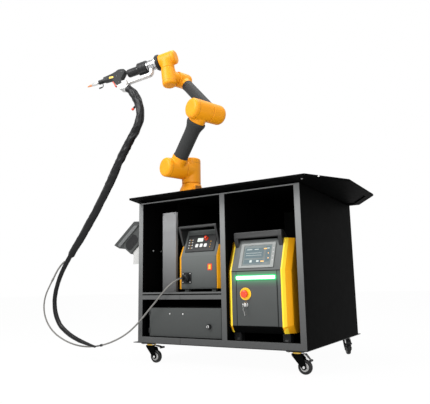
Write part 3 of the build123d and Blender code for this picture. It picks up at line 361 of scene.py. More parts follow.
def lathe(place, profile, steps=40, loop=False):
    """Turned shape from (radius, height) pairs."""
    rings = []
    for radius, height in profile:
        if radius < 1e-6:
            rings.append([work.verts.new(place @ Vector((0, 0, height)))] * steps)
        else:
            rings.append([work.verts.new(place @ Vector((x, y, height))) for x, y in circle(radius, steps)])
    skin(rings + rings[:1] if loop else rings)


def ring(place, profile, steps=64):
    """Turned ring, its profile closed on itself."""
    lathe(place, profile, steps, loop=True)


def prism(place, outline, low, high):
    """Straight prism over a flat outline."""
    ends = [[work.verts.new(place @ Vector((x, y, height))) for x, y in outline] for height in (low, high)]
    for end in ends:
        work.faces.new(end)
    skin(ends)


def box(low, high, place=Matrix.Identity(4)):
    """Box between two corners."""
    outline = [(low[0], low[1]), (high[0], low[1]), (high[0], high[1]), (low[0], high[1])]
    prism(place, outline, low[2], high[2])


def sweep(points, section, first_side):
    """Section carried along a line of points, closed at both ends."""
    side = Vector(first_side)
    rings = []
    for place, point in enumerate(points):
        ahead = (points[min(place + 1, len(points) - 1)] - points[max(place - 1, 0)]).normalized()
        side = (side - ahead * side.dot(ahead)).normalized()
        other = ahead.cross(side)
        rings.append([work.verts.new(point + side * x + other * y) for x, y in section])
    skin(rings)
    work.faces.new(rings[0])
    work.faces.new(rings[-1])


def screw(place, radius, height):
    """Cylinder head screw with a round socket."""
    lathe(place, [(0, -height * 0.2), (radius, -height * 0.2), (radius, height * 0.75), (radius * 0.82, height),
                  (radius * 0.5, height), (radius * 0.45, height * 0.4), (0, height * 0.4)], 18)


def closed(name, slot, look=None, scale=1.0):
    """Object made of the open mesh; the next mesh is opened."""
    global work
    bmesh.ops.recalc_face_normals(work, faces=work.faces)
    bmesh.ops.scale(work, vec=(scale, scale, scale), verts=work.verts)
    data = bpy.data.meshes.new(name)
    work.to_mesh(data)
    work.free()
    work = bmesh.new()
    made = linked(name, data)
    data.materials.append(paint[look or slot])
    data.shade_smooth()
    return made


def piece(name, slot="black_plastic", body="cart", hides=None, look=None, bevel=0.0, angle=35, voxel=0.0, soften=0):
    """Finished piece from the open mesh: it rides on a body and may stand for a CAD node."""
    made = closed(name, slot, look, METRE)
    if voxel:
        modify(made, "REMESH", mode="VOXEL", voxel_size=voxel * METRE, use_smooth_shade=True)
        modify(made, "SMOOTH", factor=0.5, iterations=soften)
    elif bevel:
        round_edges(made, bevel, angle)
    else:
        made.data.set_sharp_from_angle(angle=radians(angle))
    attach(made, body)
    if hides:
        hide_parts(hides)
    return made


# Arm: places of the joints, along the chain from the table to the tool

TABLE_Z = 999
COLUMN_RISE, SHOULDER_OUT, UPPER_LENGTH, ELBOW_BACK = 158, 122, 390, 98
FORE_LENGTH, WRIST_OUT, HAND_RISE = 438, 113, 123
BASE_TURN, UPPER_SLOPE, FORE_SLOPE, WRIST_SLOPE, TOOL_TURN = -108, 48.3, 134.1, 99.7, 62.5
up_dir = Vector((0, 0, 1))
axis_dir = Vector((*polar(1, BASE_TURN), 0))
lean_dir = Vector((-axis_dir.y, axis_dir.x, 0))


def in_arm_plane(slope):
    """Direction in the upright plane of the arm."""
    along, rise = polar(1, slope)
    return lean_dir * along + up_dir * rise


upper_dir = in_arm_plane(UPPER_SLOPE)
fore_dir = in_arm_plane(FORE_SLOPE)
wrist_dir = in_arm_plane(WRIST_SLOPE)
axis_share, plane_share = polar(1, TOOL_TURN)
tool_dir = axis_dir * axis_share + in_arm_plane(WRIST_SLOPE + 90) * plane_share
side_dir = tool_dir.cross(wrist_dir)
base_point = Vector((-168, -430, TABLE_Z))
upper_point = base_point + up_dir * COLUMN_RISE + axis_dir * SHOULDER_OUT
elbow_point = upper_point + upper_dir * UPPER_LENGTH
fore_point = elbow_point - axis_dir * ELBOW_BACK
wrist_point = fore_point + fore_dir * FORE_LENGTH
turn_point = wrist_point + axis_dir * WRIST_OUT
hand_point = turn_point + wrist_dir * HAND_RISE
column = basis(base_point, up_dir, axis_dir)
stub = basis(base_point + up_dir * COLUMN_RISE, axis_dir, up_dir)


def joint(point, along):
    """Places at a joint, along its axis and along the arm."""
    return basis(point, axis_dir, along), basis(point, along, axis_dir)


upper_joint, upper_line = joint(upper_point, upper_dir)
elbow, elbow_line = joint(elbow_point, upper_dir)
fore_joint, fore_line = joint(fore_point, fore_dir)
wrist, wrist_line = joint(wrist_point, fore_dir)
turn = basis(turn_point, wrist_dir, axis_dir)
hand = basis(hand_point, tool_dir, wrist_dir)

# Arm: castings grown together from drums, with soft fillets where they meet

LARGE, SMALL = 58.5, 45
lathe(column, [(0, 0), (95, 0), (95, 9), (93, 12), (84, 13), (78, 22), (66, 54), (60, 64),
               (LARGE, 70), (LARGE, 76), (0, 76)], 72)
socket = turned(column, 78)
box((30, -23, 13), (92, 23, 55), socket)
piece("arm_base", "robot_yellow", hides="robot_base", voxel=2.4, soften=4)
for name, body, node, soften, *drums in (
    ("arm_column", "shoulder_link", "shoulder", 14, (column, LARGE, 76.5, 236, 1, 12), (stub, LARGE, 0, 63, 0, 1)),
    ("arm_shoulder", "upper_arm", "upper_arm_shoulder", 14,
     (upper_joint, LARGE, -LARGE, 85, 1, 20), (upper_line, 47, 0, 84, 0, 1)),
    ("arm_elbow", "upper_arm", "elbow_housing", 14, (elbow, LARGE, -49, 85, 1, 20), (elbow_line, 48.5, -84, 0, 1, 0)),
    ("arm_fore_elbow", "forearm", "forearm_elbow", 14,
     (fore_joint, LARGE, -56, 48.5, 34, 1), (fore_line, 40, 0, 66, 0, 2)),
    ("arm_fore_wrist", "forearm", "forearm_wrist", 10, (wrist, 49, -45, 52, 18, 1), (wrist_line, 37, -66, 0, 1, 0)),
    ("arm_wrist_1", "wrist_1_link", "wrist_1", 10, (turn, SMALL, -66, 50, 14, 1), (wrist, 43, 52.5, WRIST_OUT, 1, 0)),
    ("arm_wrist_2", "wrist_2_link", "wrist_2", 10, (hand, SMALL, -66, 46, 14, 1), (turn, 43, 50.5, HAND_RISE, 1, 0)),
):
    for place, *sizes in drums:
        lathe(place, drum(*sizes), 72)
    piece(name, "robot_yellow", body, node, voxel=2.6, soften=soften)

# Arm: fine lines round the drums, tubes, screws
for name, body, place, height, radius in (
    ("seam_column", "shoulder_link", column, 204, 58.4),
    ("seam_shoulder", "upper_arm", upper_joint, 53, 58.4),
    ("seam_elbow", "upper_arm", elbow, 53, 58.4),
    ("seam_wrist_1", "wrist_1_link", turn, -42, 44.9),
    ("seam_wrist_2", "wrist_2_link", hand, -42, 44.9),
    ("seam_fore_wrist", "forearm", wrist, -18, 48.9),
):
    ring(place, [(radius - 2, height - 0.9), (radius + 0.12, height - 0.9),
                 (radius + 0.12, height + 0.9), (radius - 2, height + 0.9)])
    piece(name, body=body, look="seam_dark")

lathe(upper_line, [(0, 60), (43, 60), (43, 262), (0, 262)], 64)
piece("upper_tube", "arm_grey", "upper_arm", "upper_arm_tube")
ring(upper_line, [(42, 240), (43.2, 240), (43.6, 256), (45.2, 270), (48.4, 283), (53, 295), (55.6, 303),
                  (56.4, 309), (56, 316), (54, 319), (46, 319)])
ring(upper_line, [(42, 84.5), (45.5, 84.5), (45.5, 88), (44, 89.5), (42, 89.5)])
piece("upper_collar", body="upper_arm", look="arm_grey", angle=60)
lathe(fore_line, [(0, 44), (35, 44), (35, 374), (0, 374)], 64)
piece("fore_tube", "arm_grey", "forearm", "forearm_tube")
ring(fore_line, [(34, 369.5), (36.2, 369.5), (36.2, 372.5), (34, 372.5)])
piece("fore_tube_ring", body="forearm")

for step in range(6):
    screw(moved(column, *polar(89, 60 * step + 20), 11.5), 4.5, 5)
piece("base_screws", "bright_steel")
face = socket @ basis((92, 0, 34), (1, 0, 0), (0, 1, 0))
prism(face, rounded(38, 34, 4), -2, 0.8)
for x, y in ((-9, 7), (9, 7), (0, -8)):
    lathe(moved(face, x, y), [(0, 0), (6.5, 0), (6.5, 2.5), (4.5, 2.5), (4.5, 1), (0, 1)], 20)
piece("base_connectors", look="seam_dark")
plate = basis(base_point + Vector((60, -52, 32)), (0.70, -0.62, 0.36), (0.66, 0.75, 0))
prism(plate, circle(19, 6), -14, 3)
piece("arm_base_boss", "robot_yellow", bevel=1.5)

# Tool: flange, adapter, bracket bar, sensor

lathe(hand, [(0, 46.5), (47, 46.5), (50, 48.5), (51, 52), (51, 64), (49, 68), (45, 70), (40, 70.5), (0, 70.5)], 64)
for step in range(10):
    lathe(moved(hand, *polar(46.5, 36 * step), 66), [(0, 0), (3.6, 0), (3.6, 5), (0, 5)], 12)
piece("flange_body", body="tool", hides="tool_flange")
ring(hand, [(30, 70.5), (42, 70.5), (42, 73), (41, 73.6), (41, 75.5), (42, 76.2), (42, 78.2), (30, 78.2)])
piece("flange_ring", "bright_steel", "tool")
lathe(hand, drum(30, 78, 139), 48)
for start, end in ((88.5, 92), (105, 106.6), (126, 132)):
    ring(hand, [(28, start), (33.7, start), (33.7, end), (28, end)])
for step in range(6):
    prism(turned(hand, 60 * step + 12) @ basis((26, 0, 116), (1, 0, 0), (0, 0, 1)), rounded(15, 7, 3.4), 0, 7.9)
piece("adapter_core", body="tool")
ring(hand, [(28, 78.5), (36, 78.5), (37, 79.5), (37, 82), (34, 83), (34, 88.5), (28, 88.5)])
ring(hand, [(28, 92), (32.5, 92), (33.4, 93), (33.4, 125), (32.5, 126), (28, 126)])
ring(hand, [(28, 132), (34, 132), (34, 138.3), (28, 138.3)])
piece("adapter_cage", "white_aluminium", "tool", "tool_adapter", look="chrome")


def tool_at(along, across, side=0.0):
    """Point of the tool, measured along the tool axis, along the wrist and to the side."""
    return hand_point + tool_dir * along + wrist_dir * across + side_dir * side


bar_root, bar_bend, bar_end = tool_at(114.5, -22), tool_at(114.5, -65), tool_at(290, -65)
sweep([bar_root, *arc_points(bar_bend, bar_root, bar_end, 26, 10), bar_end], rounded(30, 21.6, 5), side_dir)
piece("tool_bar", "white_aluminium", "tool", angle=50)
for along in (150, 270):
    screw(basis(tool_at(along, -54.4), wrist_dir, tool_dir), 5.5, 4)
for sign in (-1, 1):
    screw(basis(tool_at(114.5, -40, 14.6 * sign), side_dir * sign, tool_dir), 5, 3)
piece("tool_bar_screws", "bright_steel", "tool")
lathe(hand, [(0, 138.5), (38, 138.5), (41, 140.5), (42, 144), (42, 160), (40.6, 161.5), (40.6, 165), (42, 166.5),
             (42, 184), (40.6, 185.5), (40.6, 189), (42, 190.5), (42, 200), (40, 204), (36, 206), (30, 206.5),
             (28.5, 209), (27, 212), (27, 276), (26, 282), (24, 286.5), (21, 288), (18, 288), (17, 284), (0, 284)], 64)
for step in range(4):
    box((38, -5, 146), (42, 5, 199), turned(hand, 90 * step + 30))
piece("sensor_body", body="tool", hides="tool_sensor")
for step in range(4):
    screw(moved(hand, *polar(34, 90 * step + 75), 205.4), 3.2, 2.6)
piece("sensor_screws", "bright_steel", "tool")

# Torch

TORCH_START, TORCH_LENGTH, TORCH_LOW, TORCH_HEIGHT = 302, 170, -71, 124
side_plane = basis(hand_point, side_dir, tool_dir)


def torch_at(x, y):
    """Point of the torch's side from shares of its length and height."""
    return Vector((TORCH_START + TORCH_LENGTH * x, TORCH_LOW + TORCH_HEIGHT * y))


def torch_plate(half, *shares):
    """Upright slab through the torch, as thick to both sides."""
    prism(side_plane, [torch_at(*share) for share in shares], -half, half)


torch_plate(18.5, (0.01, 0.77), (0.02, 0.85), (0.06, 0.89), (0.18, 0.945), (0.29, 0.97), (0.36, 0.95),
            (0.42, 0.91), (0.62, 0.86), (0.99, 0.825), (1.0, 0.7), (1.0, 0.575), (0.66, 0.53), (0.60, 0.475),
            (0.49, 0.225), (0.38, 0.0), (0.27, 0.015), (0.16, 0.04), (0.17, 0.2), (0.19, 0.35), (0.11, 0.50),
            (0.03, 0.66))
piece("torch_shell", body="tool", hides="torch_body", look="arm_grey", bevel=5, angle=40)
inlay = [torch_at(*share) for share in ((0.53, 0.565), (0.715, 0.585), (0.722, 0.70), (0.535, 0.665))]
for sign in (-1, 1):
    prism(moved(side_plane, 0, 0, 18.3 * sign), inlay, -0.6, 0.6)
piece("torch_inlay", "signal_yellow", "tool")
for half_turn in (180, 0):
    for x, y in ((0.15, 0.76), (0.40, 0.62), (0.93, 0.66), (0.30, 0.20)):
        screw(moved(turned(moved(side_plane, *torch_at(x, y)), half_turn, "X"), 0, 0, 17.9), 2.6, 0.9)
piece("torch_trim", "bright_steel", "tool", look="bezel_grey")
torch_plate(19.2, (0.995, 0.80), (0.995, 0.60), (0.80, 0.60), (0.80, 0.80))
for x in (0.845, 0.905, 0.96):
    box((*torch_at(x - 0.01, 0.59), -19.6), (*torch_at(x + 0.01, 0.822), 19.6), side_plane)
piece("torch_neck", body="tool", bevel=1.2)
muzzle = basis(tool_at(0, 14), tool_dir, wrist_dir)
lathe(muzzle, [(0, 470), (15, 470), (15, 478), (13.5, 480), (13.5, 484), (15, 486), (15, 492), (13.5, 494), (13.5, 498),
               (15, 500), (15, 514), (12.5, 517.5), (0, 517.5)])
piece("torch_collar", body="tool", hides="torch_nozzle")
lathe(muzzle, [(0, 516), (8.5, 516), (8.5, 522), (11, 524), (11, 560), (10, 563), (8.6, 572), (0, 572)])
piece("torch_tube", "bright_steel", "tool")
lathe(muzzle, [(0, 571), (8.4, 571), (6.5, 588), (4.4, 604), (4, 607.8), (2.2, 607.8), (2.2, 600), (0, 600)], 32)
piece("torch_tip", "bright_steel", "tool", look="copper")
hook_bend = arc_points(tool_at(484, -27), tool_at(486, -14), tool_at(505, -30), 9)
sweep([tool_at(488, -1), tool_at(486, -14), *hook_bend, tool_at(508, -29)], circle(2.6, 12), side_dir)
lathe(basis(tool_at(506, -29), tool_dir, wrist_dir), drum(4.6, -12, 12, 1.5, 1.5, 3), 20)
piece("torch_hook", "bright_steel", "tool", look="arm_grey")
trigger_top, trigger_foot = torch_at(0.62, 0.49), torch_at(0.38, 0.0)
trigger_line = (trigger_foot - trigger_top).normalized()
trigger_out = Vector((-trigger_line.y, trigger_line.x))
trigger_start = trigger_top + trigger_line * 9 + trigger_out * 0.5
trigger_end = trigger_start + trigger_line * 46 + trigger_out * 7
swell = (trigger_start + trigger_end) / 2 + trigger_out * 8.4
trigger_back = trigger_out * 8.9
lever = [trigger_start, trigger_end, trigger_end + trigger_back, swell, trigger_start + trigger_back]
prism(side_plane, lever, -7.9, 7.9)
piece("trigger_lever", "red_plastic", "trigger", "torch_trigger", bevel=1.6)

clamp_low, clamp_tail = Vector((290, -87)), torch_at(0.094, -0.347)
clamp_middle = (clamp_low + clamp_tail) / 2
clamp_along = (clamp_tail - clamp_low).normalized()
clamp_out = Vector((clamp_along.y, -clamp_along.x))
grip_foot, grip_rear = torch_at(0.16, 0.04), torch_at(0.19, 0.35)
grip_meet = grip_foot + (grip_rear - grip_foot) * 0.42
clamp_outline = [trigger_foot, grip_foot, grip_meet, (290, -54), clamp_low, clamp_tail, torch_at(0.27, -0.282)]
prism(side_plane, clamp_outline, -27.9, 27.9)
piece("clamp_block", "bright_steel", "tool", "torch_clamp", look="hub_grey", bevel=4)
clamp_face = basis(tool_at(*clamp_middle), tool_dir * clamp_out.x + wrist_dir * clamp_out.y, side_dir)
ring(clamp_face, [(20, -9), (26.5, -9), (27.5, -7.5), (27.5, -4), (26, -2.5), (26, 1), (27.5, 2.5), (27.5, 6),
                  (26, 8), (20, 8)], 40)
for sign in (-1, 1):
    for x in (-12, 12):
        spot = tool_at(*(clamp_middle - clamp_out * 16 + clamp_along * x))
        screw(basis(spot + side_dir * 27.6 * sign, side_dir * sign, tool_dir), 4.2, 3)
piece("clamp_fittings", "bright_steel", "tool")

# Cart: casters, each with its place, its swivel and the slope of its brake pedal

WHEEL_RADIUS, CASTER_TRAIL = 37.5, 38
casters = {"front_left": (-480, -425, 0, 12), "front_right": (480, -425, 0, 48),
           "back_right": (480, 425, -60, 48), "back_left": (-480, 425, 150, 48)}
for name, (x, y, swivel, slope) in casters.items():
    trail = Vector((*polar(1, swivel), 0))
    axle_dir = Vector((-trail.y, trail.x, 0))
    axle = Vector((x, y, WHEEL_RADIUS)) + trail * CASTER_TRAIL
    wheel = basis(axle, axle_dir, up_dir)
    ring(wheel, [(22.4, -11.4), (30, -11.9), (34.5, -10.6), (36.8, -7.5), (WHEEL_RADIUS, -3), (WHEEL_RADIUS, 3),
                 (36.8, 7.5), (34.5, 10.6), (30, 11.9), (22.4, 11.4)], 56)
    piece(f"tyre_{name}", "tyre_black", f"wheel_{name}", f"caster_wheel_{name}", angle=50)
    ring(wheel, [(5.6, -10.5), (9.5, -10.5), (10.5, -7.5), (17, -6.5), (20, -9.5), (22.5, -11.2), (22.5, 11.2),
                 (20, 9.5), (17, 6.5), (10.5, 7.5), (9.5, 10.5), (5.6, 10.5)], 48)
    for step in range(6):
        box((9.5, -1.6, -9), (20.5, 1.6, 9), turned(wheel, 60 * step))
    piece(f"hub_{name}", "grey_plastic", f"wheel_{name}", look="hub_grey")
    for sign in (-1, 1):
        nut = basis(axle + axle_dir * 19.8 * sign, axle_dir * sign, up_dir)
        prism(nut, circle(7.2, 6), 0, 4)
        lathe(nut, [(0, 3), (4, 3), (4, 5.6), (3, 6.4), (0, 6.4)], 16)
    piece(f"axle_{name}", "bright_steel", f"fork_{name}")
    along, fall = polar(1, slope)
    pedal_dir = trail * along - up_dir * fall
    pedal = basis(Vector((x, y, 102.6)) + trail * 42, pedal_dir.cross(axle_dir), pedal_dir)
    box((-2, -17.6, -4.7), (45, 17.6, 0.8), pedal)
    piece(f"pedal_{name}", "bright_steel", f"fork_{name}", bevel=1.5)
    lathe(basis(pedal @ Vector((43, 0, -1)), axle_dir, up_dir), drum(6, -18.5, 18.5, 1.5, 1.5, 3), 20)
    box((14, -11, -0.2), (36, 11, 1.5), pedal)
    piece(f"pedal_grip_{name}", body=f"fork_{name}")

for x, y, swivel, slope in casters.values():
    for bolt_x, bolt_y in ((-38, -30), (-38, 30), (38, -30), (38, 30)):
        prism(basis((x + bolt_x, y + bolt_y, 112), (0, 0, -1), (1, 0, 0)), circle(6.5, 6), -0.5, 4)
piece("caster_bolts", "bright_steel")

# Cart: sheets and boxes

FRAME_Y, DOOR_Y, TALL_Y, LASER_Y, FEEDER_Y = -470, -454, -360, -450, -380
front_plane = to_front(0, FRAME_Y, 0)
for low_x in (-550, 54.5, 517):
    prism(front_plane, rounded(32.4, 865.4, 2.5, 3, (low_x + 16.5, 554)), -1, 0.8)
for low_x, high_x in ((-517, 54.5), (87.5, 517)):
    box((low_x - 1, 979.4, -1), (high_x + 1, 986.6, 0.7), front_plane)
    box((low_x - 1, 121.4, -1), (high_x + 1, 156.4, 0.6), front_plane)
box((-518, 378.6, -1), (55, 404, 0.6), front_plane)
box((-518, 411.5, -1), (55, 421.6, 0.7), front_plane)
piece("frame_fronts", "frame_steel", bevel=0.5)
box((-231.2, 378, -0.5), (-229.8, 404.5, 1), front_plane)
box((-231.2, 121, -0.5), (-229.8, 157, 1), front_plane)
piece("frame_joints", "frame_steel", look="panel_black")
for y in (-329, -251):
    screw(basis((-546, y, 690), (1, 0, 0), (0, 0, 1)), 7, 5)
for x in (600, 690):
    screw(basis((x, -560, 987), (0, 0, -1), (1, 0, 0)), 6, 4)
for x in (-520, 0, 520):
    screw(basis((x, -580, TABLE_Z), (0, 0, 1), (1, 0, 0)), 5, 2.5)
piece("sheet_screws", "bright_steel")
for x, z in ((-317, 294), (-221, 293)):
    screw(to_front(x, DOOR_Y, z), 4.5, 2.5)
piece("door_screws", "bright_steel", "control_door")
knob = basis((-37.5, DOOR_Y, 225.5), (0, -1, 0), (0, 0, 1))
lathe(knob, [(0, 0.3), (14.5, 0.3), (14.5, 3), (13.2, 5), (13.2, 17), (11.5, 20.2), (0, 20.2)])
box((-10, -2.6, 18), (10, 2.6, 22.5), knob)
piece("door_knob", body="control_door")
lathe(knob, [(0, 19.5), (8.5, 19.5), (8.5, 20.8), (7.5, 21.4), (0, 21.4)], 32)
piece("door_knob_cap", "bright_steel", "control_door")
for z in (193, 298):
    lathe(basis((-471, -456, z - 16), (0, 0, 1), (1, 0, 0)), drum(4, 0, 32, 1, 1, 3), 16)
piece("door_hinges", body="control_door", look="arm_grey")
for x in (-437, -347):
    for z in (432, 917):
        screw(to_front(x, TALL_Y, z), 3.2, 1.6)
piece("tall_box_screws", "bright_steel", look="arm_grey")

table_edge = [(-512, -608), (633, -608), (781, -340), (781, 174), (617, 468), (-548, 468), (-548, FRAME_Y)]
prism(Matrix.Identity(4), table_edge, TABLE_Z - 1, TABLE_Z + 0.3)
piece("table_skin", "panel_black", look="satin_black", bevel=0.4)
box((-550.5, -434, 123), (-548.5, 466, 985))
piece("left_skin", "panel_black", look="satin_black", bevel=0.4)
back_spots = [(x, z) for x in (-525, -175, 175, 525) for z in (180, 940)]
back_spots += [(x, z) for z in (400, 700) for x in (-525, 525)]
for x, z in back_spots:
    screw(basis((x, -FRAME_Y, z), (0, 1, 0), (1, 0, 0)), 5, 3)
piece("back_screws", "bright_steel", look="bezel_grey")

# Laser source

front = to_front(0, LASER_Y, 0)
box((146, 236, -0.5), (388, 478, 3.4), front)
piece("laser_front", "box_grey", bevel=1.5)
for x in (141, 390):
    box((x, 234, -0.5), (x + 3, 530, 0.5), front)
box((113.5, 529.5, -0.5), (412.5, 533, 0.5), front)
skirt = [(-428, 196.6), (-452, 230.5), (-452, 235), (-449, 235), (-425, 198)]
prism(to_right(0), skirt, 113.5, 412.5)
piece("laser_skirt", look="panel_black")
bar_middle = (BAR_X / METRE, BAR_Z / METRE)
prism(front, rounded(244.5, 25.4, 5, 6, bar_middle), -0.5, 4.4)
piece("laser_bar_frame", "light_green", hides="laser_light_bar")
prism(front, rounded(236, 17, 5, 6, bar_middle), 3, 4.9)
piece("laser_bar_core", "light_green", look="light_core")
# Thin sheets on the laser front that carry the bar's painted light
prism(front, rounded(297, 88, 2, 3, (263, 484.5)), -0.4, 0.35)
prism(front, rounded(238, 40, 3, 3, (267, 457)), 3, 3.65)
piece("laser_painted_glow", "box_grey", look="painted_bar_glow")
stop = to_front(201, LASER_Y, 407)
lathe(stop, [(0, 7.8), (11, 7.8), (11, 15.5), (19.5, 16.5), (21, 18.5), (21, 24.5), (19.6, 28), (16, 30.2),
             (10, 31), (0, 31)], 48)
piece("stop_head", "red_plastic", "stop_button", "laser_stop_button")
ring(stop, [(22, 3), (33.8, 3), (33.8, 5.5), (32.5, 7), (26, 7.2), (22, 7.2)], 56)
piece("stop_ring", "signal_yellow")
lock = to_front(201, LASER_Y, 349)
lathe(lock, [(0, 3), (14, 3), (14, 6), (12, 8), (11.5, 15), (10, 17), (0, 17)])
box((-1.4, -8, 16), (1.4, 8, 28), lock)
lathe(turned(moved(lock, 0, 0, 30), 90, "Y"), drum(10, -1.3, 1.3, 0.4, 0.4, 3), 28)
piece("lock_barrel", "bright_steel", hides="laser_key_switch")
key_ring = [lock @ Vector((0, y - 9, z + 32)) for y, z in (*circle(8, 20), (8, 0))]
sweep(key_ring, circle(0.9, 8), (1, 0, 0))
second = turned(moved(lock, 0, -25, 30), 12)
lathe(turned(second, 90, "Y"), drum(9, -1, 1, 0.3, 0.3, 3), 24)
box((-1, -34, -2.6), (1, -7, 2.6), second)
piece("lock_keys", "bright_steel")
bezel = basis((263, -416.95, 616.6), (0, -0.9285, 0.3714), (1, 0, 0))
prism(bezel, rounded(174, 121, 3), 2.4, 3.8)
piece("screen_glass", look="screen_glass")
for name, look, top, rects in (
    ("screen_panes", "screen_tint", 4.0, ((-20, 14, 116, 62), (64, 6, 26, 96), (-20, -38, 116, 24))),
    ("screen_marks", "screen_light", 4.3, ((-35, -36, 14, 14), (7, -36, 15, 10), (-52, 36, 34, 3.5), (-8, 36, 26, 3.5),
                                           (-22, 14, 96, 1.6), (-22, 0, 96, 1.6), (64, 40, 16, 5))),
    ("screen_lamps", "lamp_amber", 4.3, ((36, -38, 20, 7), (46, 38, 18, 6), (68, 10, 6, 6), (70, -20, 6, 6))),
):
    for u, v, width, height in rects:
        prism(bezel, rounded(width, height, min(1.5, height / 2.5), 3, (u, v)), 3.2, top)
    piece(name, look=look)
for step in range(4):
    lathe(moved(bezel, 98, 38 - 24 * step), [(0, 5), (2.6, 5), (2.6, 6.4), (1.8, 7), (0, 7)], 16)
piece("screen_keys", "grey_plastic", look="hub_grey")
cover_line = [Vector((-426, 197)), Vector((-450, 233)), Vector((-450, 534)), Vector((-380, 709))]


def cover_edge(depth):
    """Front line of a cover, moved back by a depth."""
    found = []
    ways = [(after - before).normalized() for before, after in zip(cover_line, cover_line[1:])]
    ways = [ways[0]] + ways + [ways[-1]]
    for number, point in enumerate(cover_line):
        first, second = [Vector((way.y, -way.x)) for way in ways[number:number + 2]]
        inward = (first + second) / (1 + first.dot(second))
        if number in (0, 3):
            inward -= ways[number] * inward.y / ways[number].y
        found.append(point + inward * depth)
    return found


# Lighter yellow strips over the covers' front faces and chamfers: painted highlight for the light on those faces
for root, sign in ((413, 1), (113, -1)):
    rows = []
    for across, depth in ((0.2, 2.5), (0.2, -0.5), (8.3, -0.5), (21.5, 12.7), (21.5, 15.5)):
        rows.append([work.verts.new((root + across * sign, y, z)) for y, z in cover_edge(depth)])
    for low, high in zip(rows, rows[1:] + rows[:1]):
        for step in range(3):
            work.faces.new((low[step], low[step + 1], high[step + 1], high[step]))
    for step in (0, 3):
        work.faces.new([row[step] for row in rows])
piece("cover_lit_edges", "cover_yellow", look="lit_edge_yellow", angle=20)
box((459, -310, 420), (462.8, -268, 474))
lathe(basis((462, -289, 447), (1, 0, 0), (0, 0, 1)), drum(12, 0, 4.5, 1, 1.5, 3), 28)
piece("cover_latch", bevel=0.8)
for x in (115, 411):
    for y in (-376, 140):
        for sign in (-1, 1):
            lathe(basis((x + 10.8 * sign, y, 149), (sign, 0, 0), (0, 0, 1)),
                  [(0, 0), (15, 0), (15, 1.4), (13, 2.2), (6, 2.2), (5, 3.4), (0, 3.4)], 28)
piece("laser_foot_caps", "bright_steel")

# Wire feeder

panel = basis((-156, -342.6, 714.55), (0, -0.9029, 0.4299), (1, 0, 0))
box((-281, 444, -0.5), (-31, 632, 2.2), to_front(0, FEEDER_Y, 0))
piece("feeder_front", "box_grey", bevel=1.2)
prism(panel, rounded(204, 110, 4), 4.6, 5.3)
piece("feeder_plate", look="soft_black")
prism(panel, rounded(41, 25, 2, 3, (-10, 23)), 5.2, 6.4)
piece("feeder_display", look="display_white")
turner = moved(panel, 33.5, 31.2)
lathe(turner, [(0, 5), (14, 5), (14, 7), (12.6, 8), (12.4, 19), (11, 22), (8, 23.4), (0, 23.4)])
for step in range(16):
    box((12, -0.8, 9), (13, 0.8, 18.5), turned(turner, 22.5 * step))
piece("feeder_knob", "red_plastic")
for u in (-26.5, 5, 36.5):
    prism(panel, rounded(20, 23, 4, 4, (u, -17)), 5, 7.4)
piece("feeder_keys", "grey_plastic", look="key_white")
for step in range(4):
    for u in (-90, -66):
        lathe(moved(panel, u + 2 * step, 26 - 19 * step), [(0, 5), (3.4, 5), (3.4, 6.2), (2.2, 6.9), (0, 6.9)], 14)
piece("feeder_marks", "grey_plastic", look="key_white")
for step in range(4):
    prism(panel, rounded(11, 1.6, 0.7, 2, (-77 + 2 * step, 26 - 19 * step)), 5, 5.6)
for v in (-29, -13, 8):
    lathe(moved(panel, 70, v), [(0, 5), (3, 5), (3, 6.2), (2, 7), (0, 7)], 16)
piece("feeder_lamps", "signal_yellow", look="lamp_amber")
outlet = to_front(-240, FEEDER_Y, 505)
for x in (-26, 26):
    for y in (-26, 26):
        screw(moved(outlet, x, y, 6), 3.6, 2.4)
piece("outlet_screws", "bright_steel")
lathe(outlet, [(15, 25.5), (19, 25.5), (19, 31), (15, 33), (12, 34)])
prism(outlet, circle(20.5, 6), 19, 26.5)
piece("outlet_nut", bevel=0.8)
ring(outlet, [(5.1, 26.4), (14, 26.4), (14, 30), (11.5, 33), (9, 40), (9.6, 41), (9, 42.6), (7.6, 49), (8, 50),
              (7.4, 51.4), (6.4, 59), (5.1, 60)], 32)
piece("outlet_relief")
prism(to_front(-73, FEEDER_Y, 567), rounded(30, 38, 3, 4), -0.5, 4.5)
piece("feeder_switch_frame", "red_plastic", bevel=0.8)
rocker = [(-379, -14), (-389, -13), (-386.5, 0), (-385.5, 13), (-379, 14)]
prism(to_right(567), rocker, -81, -65)
piece("feeder_rocker", "red_plastic", hides="feeder_switch", look="lamp_amber", bevel=0.8)
for x in (-295, -17):
    for z in (500, 610):
        screw(basis((x, -369, z), (copysign(0.7, x + 156), -0.7, 0), (0, 0, 1)), 3, 1.2)
piece("feeder_cover_screws")

# Teach pendant

PENDANT_TILT = 40.6
across, rise = polar(1, PENDANT_TILT)
slab = basis((-775, -460, 732), (0, 1, 0), (across, 0, rise))
prism(slab, [(10, 3), (223, 3), (246, 26), (238, 34), (214, 20), (26, 20)], -0.8, 4)
piece("pendant_edge", "grey_plastic", look="pendant_grey")
prism(slab, [(28, 24), (208, 24), (226, 38), (220, 46), (32, 46)], -0.7, 3)
piece("pendant_strip", "grey_plastic", look="bezel_grey")
prism(slab, rounded(112, 66, 28, 8, (120, 88)), 8.6, 12)
piece("pendant_inlay_edge", bevel=0.6)
prism(slab, rounded(92, 46, 20, 8, (120, 88)), 8.1, 12)
piece("pendant_inlay", "grey_plastic", look="black_plastic", bevel=0.6)
for start in (40, 196):
    prism(slab, [(40, 47), (230, 47), (178, 139.5), (60, 139.5)], start, start + 14)
piece("pendant_bands", bevel=1)
box((22, -0.8, 30), (196, 0.6, 220), slab)
piece("pendant_glass", look="screen_glass")
top = basis(slab @ Vector((214, 0, 70)), slab.to_3x3() @ Vector((0, -1, 0)), (0, 1, 0))
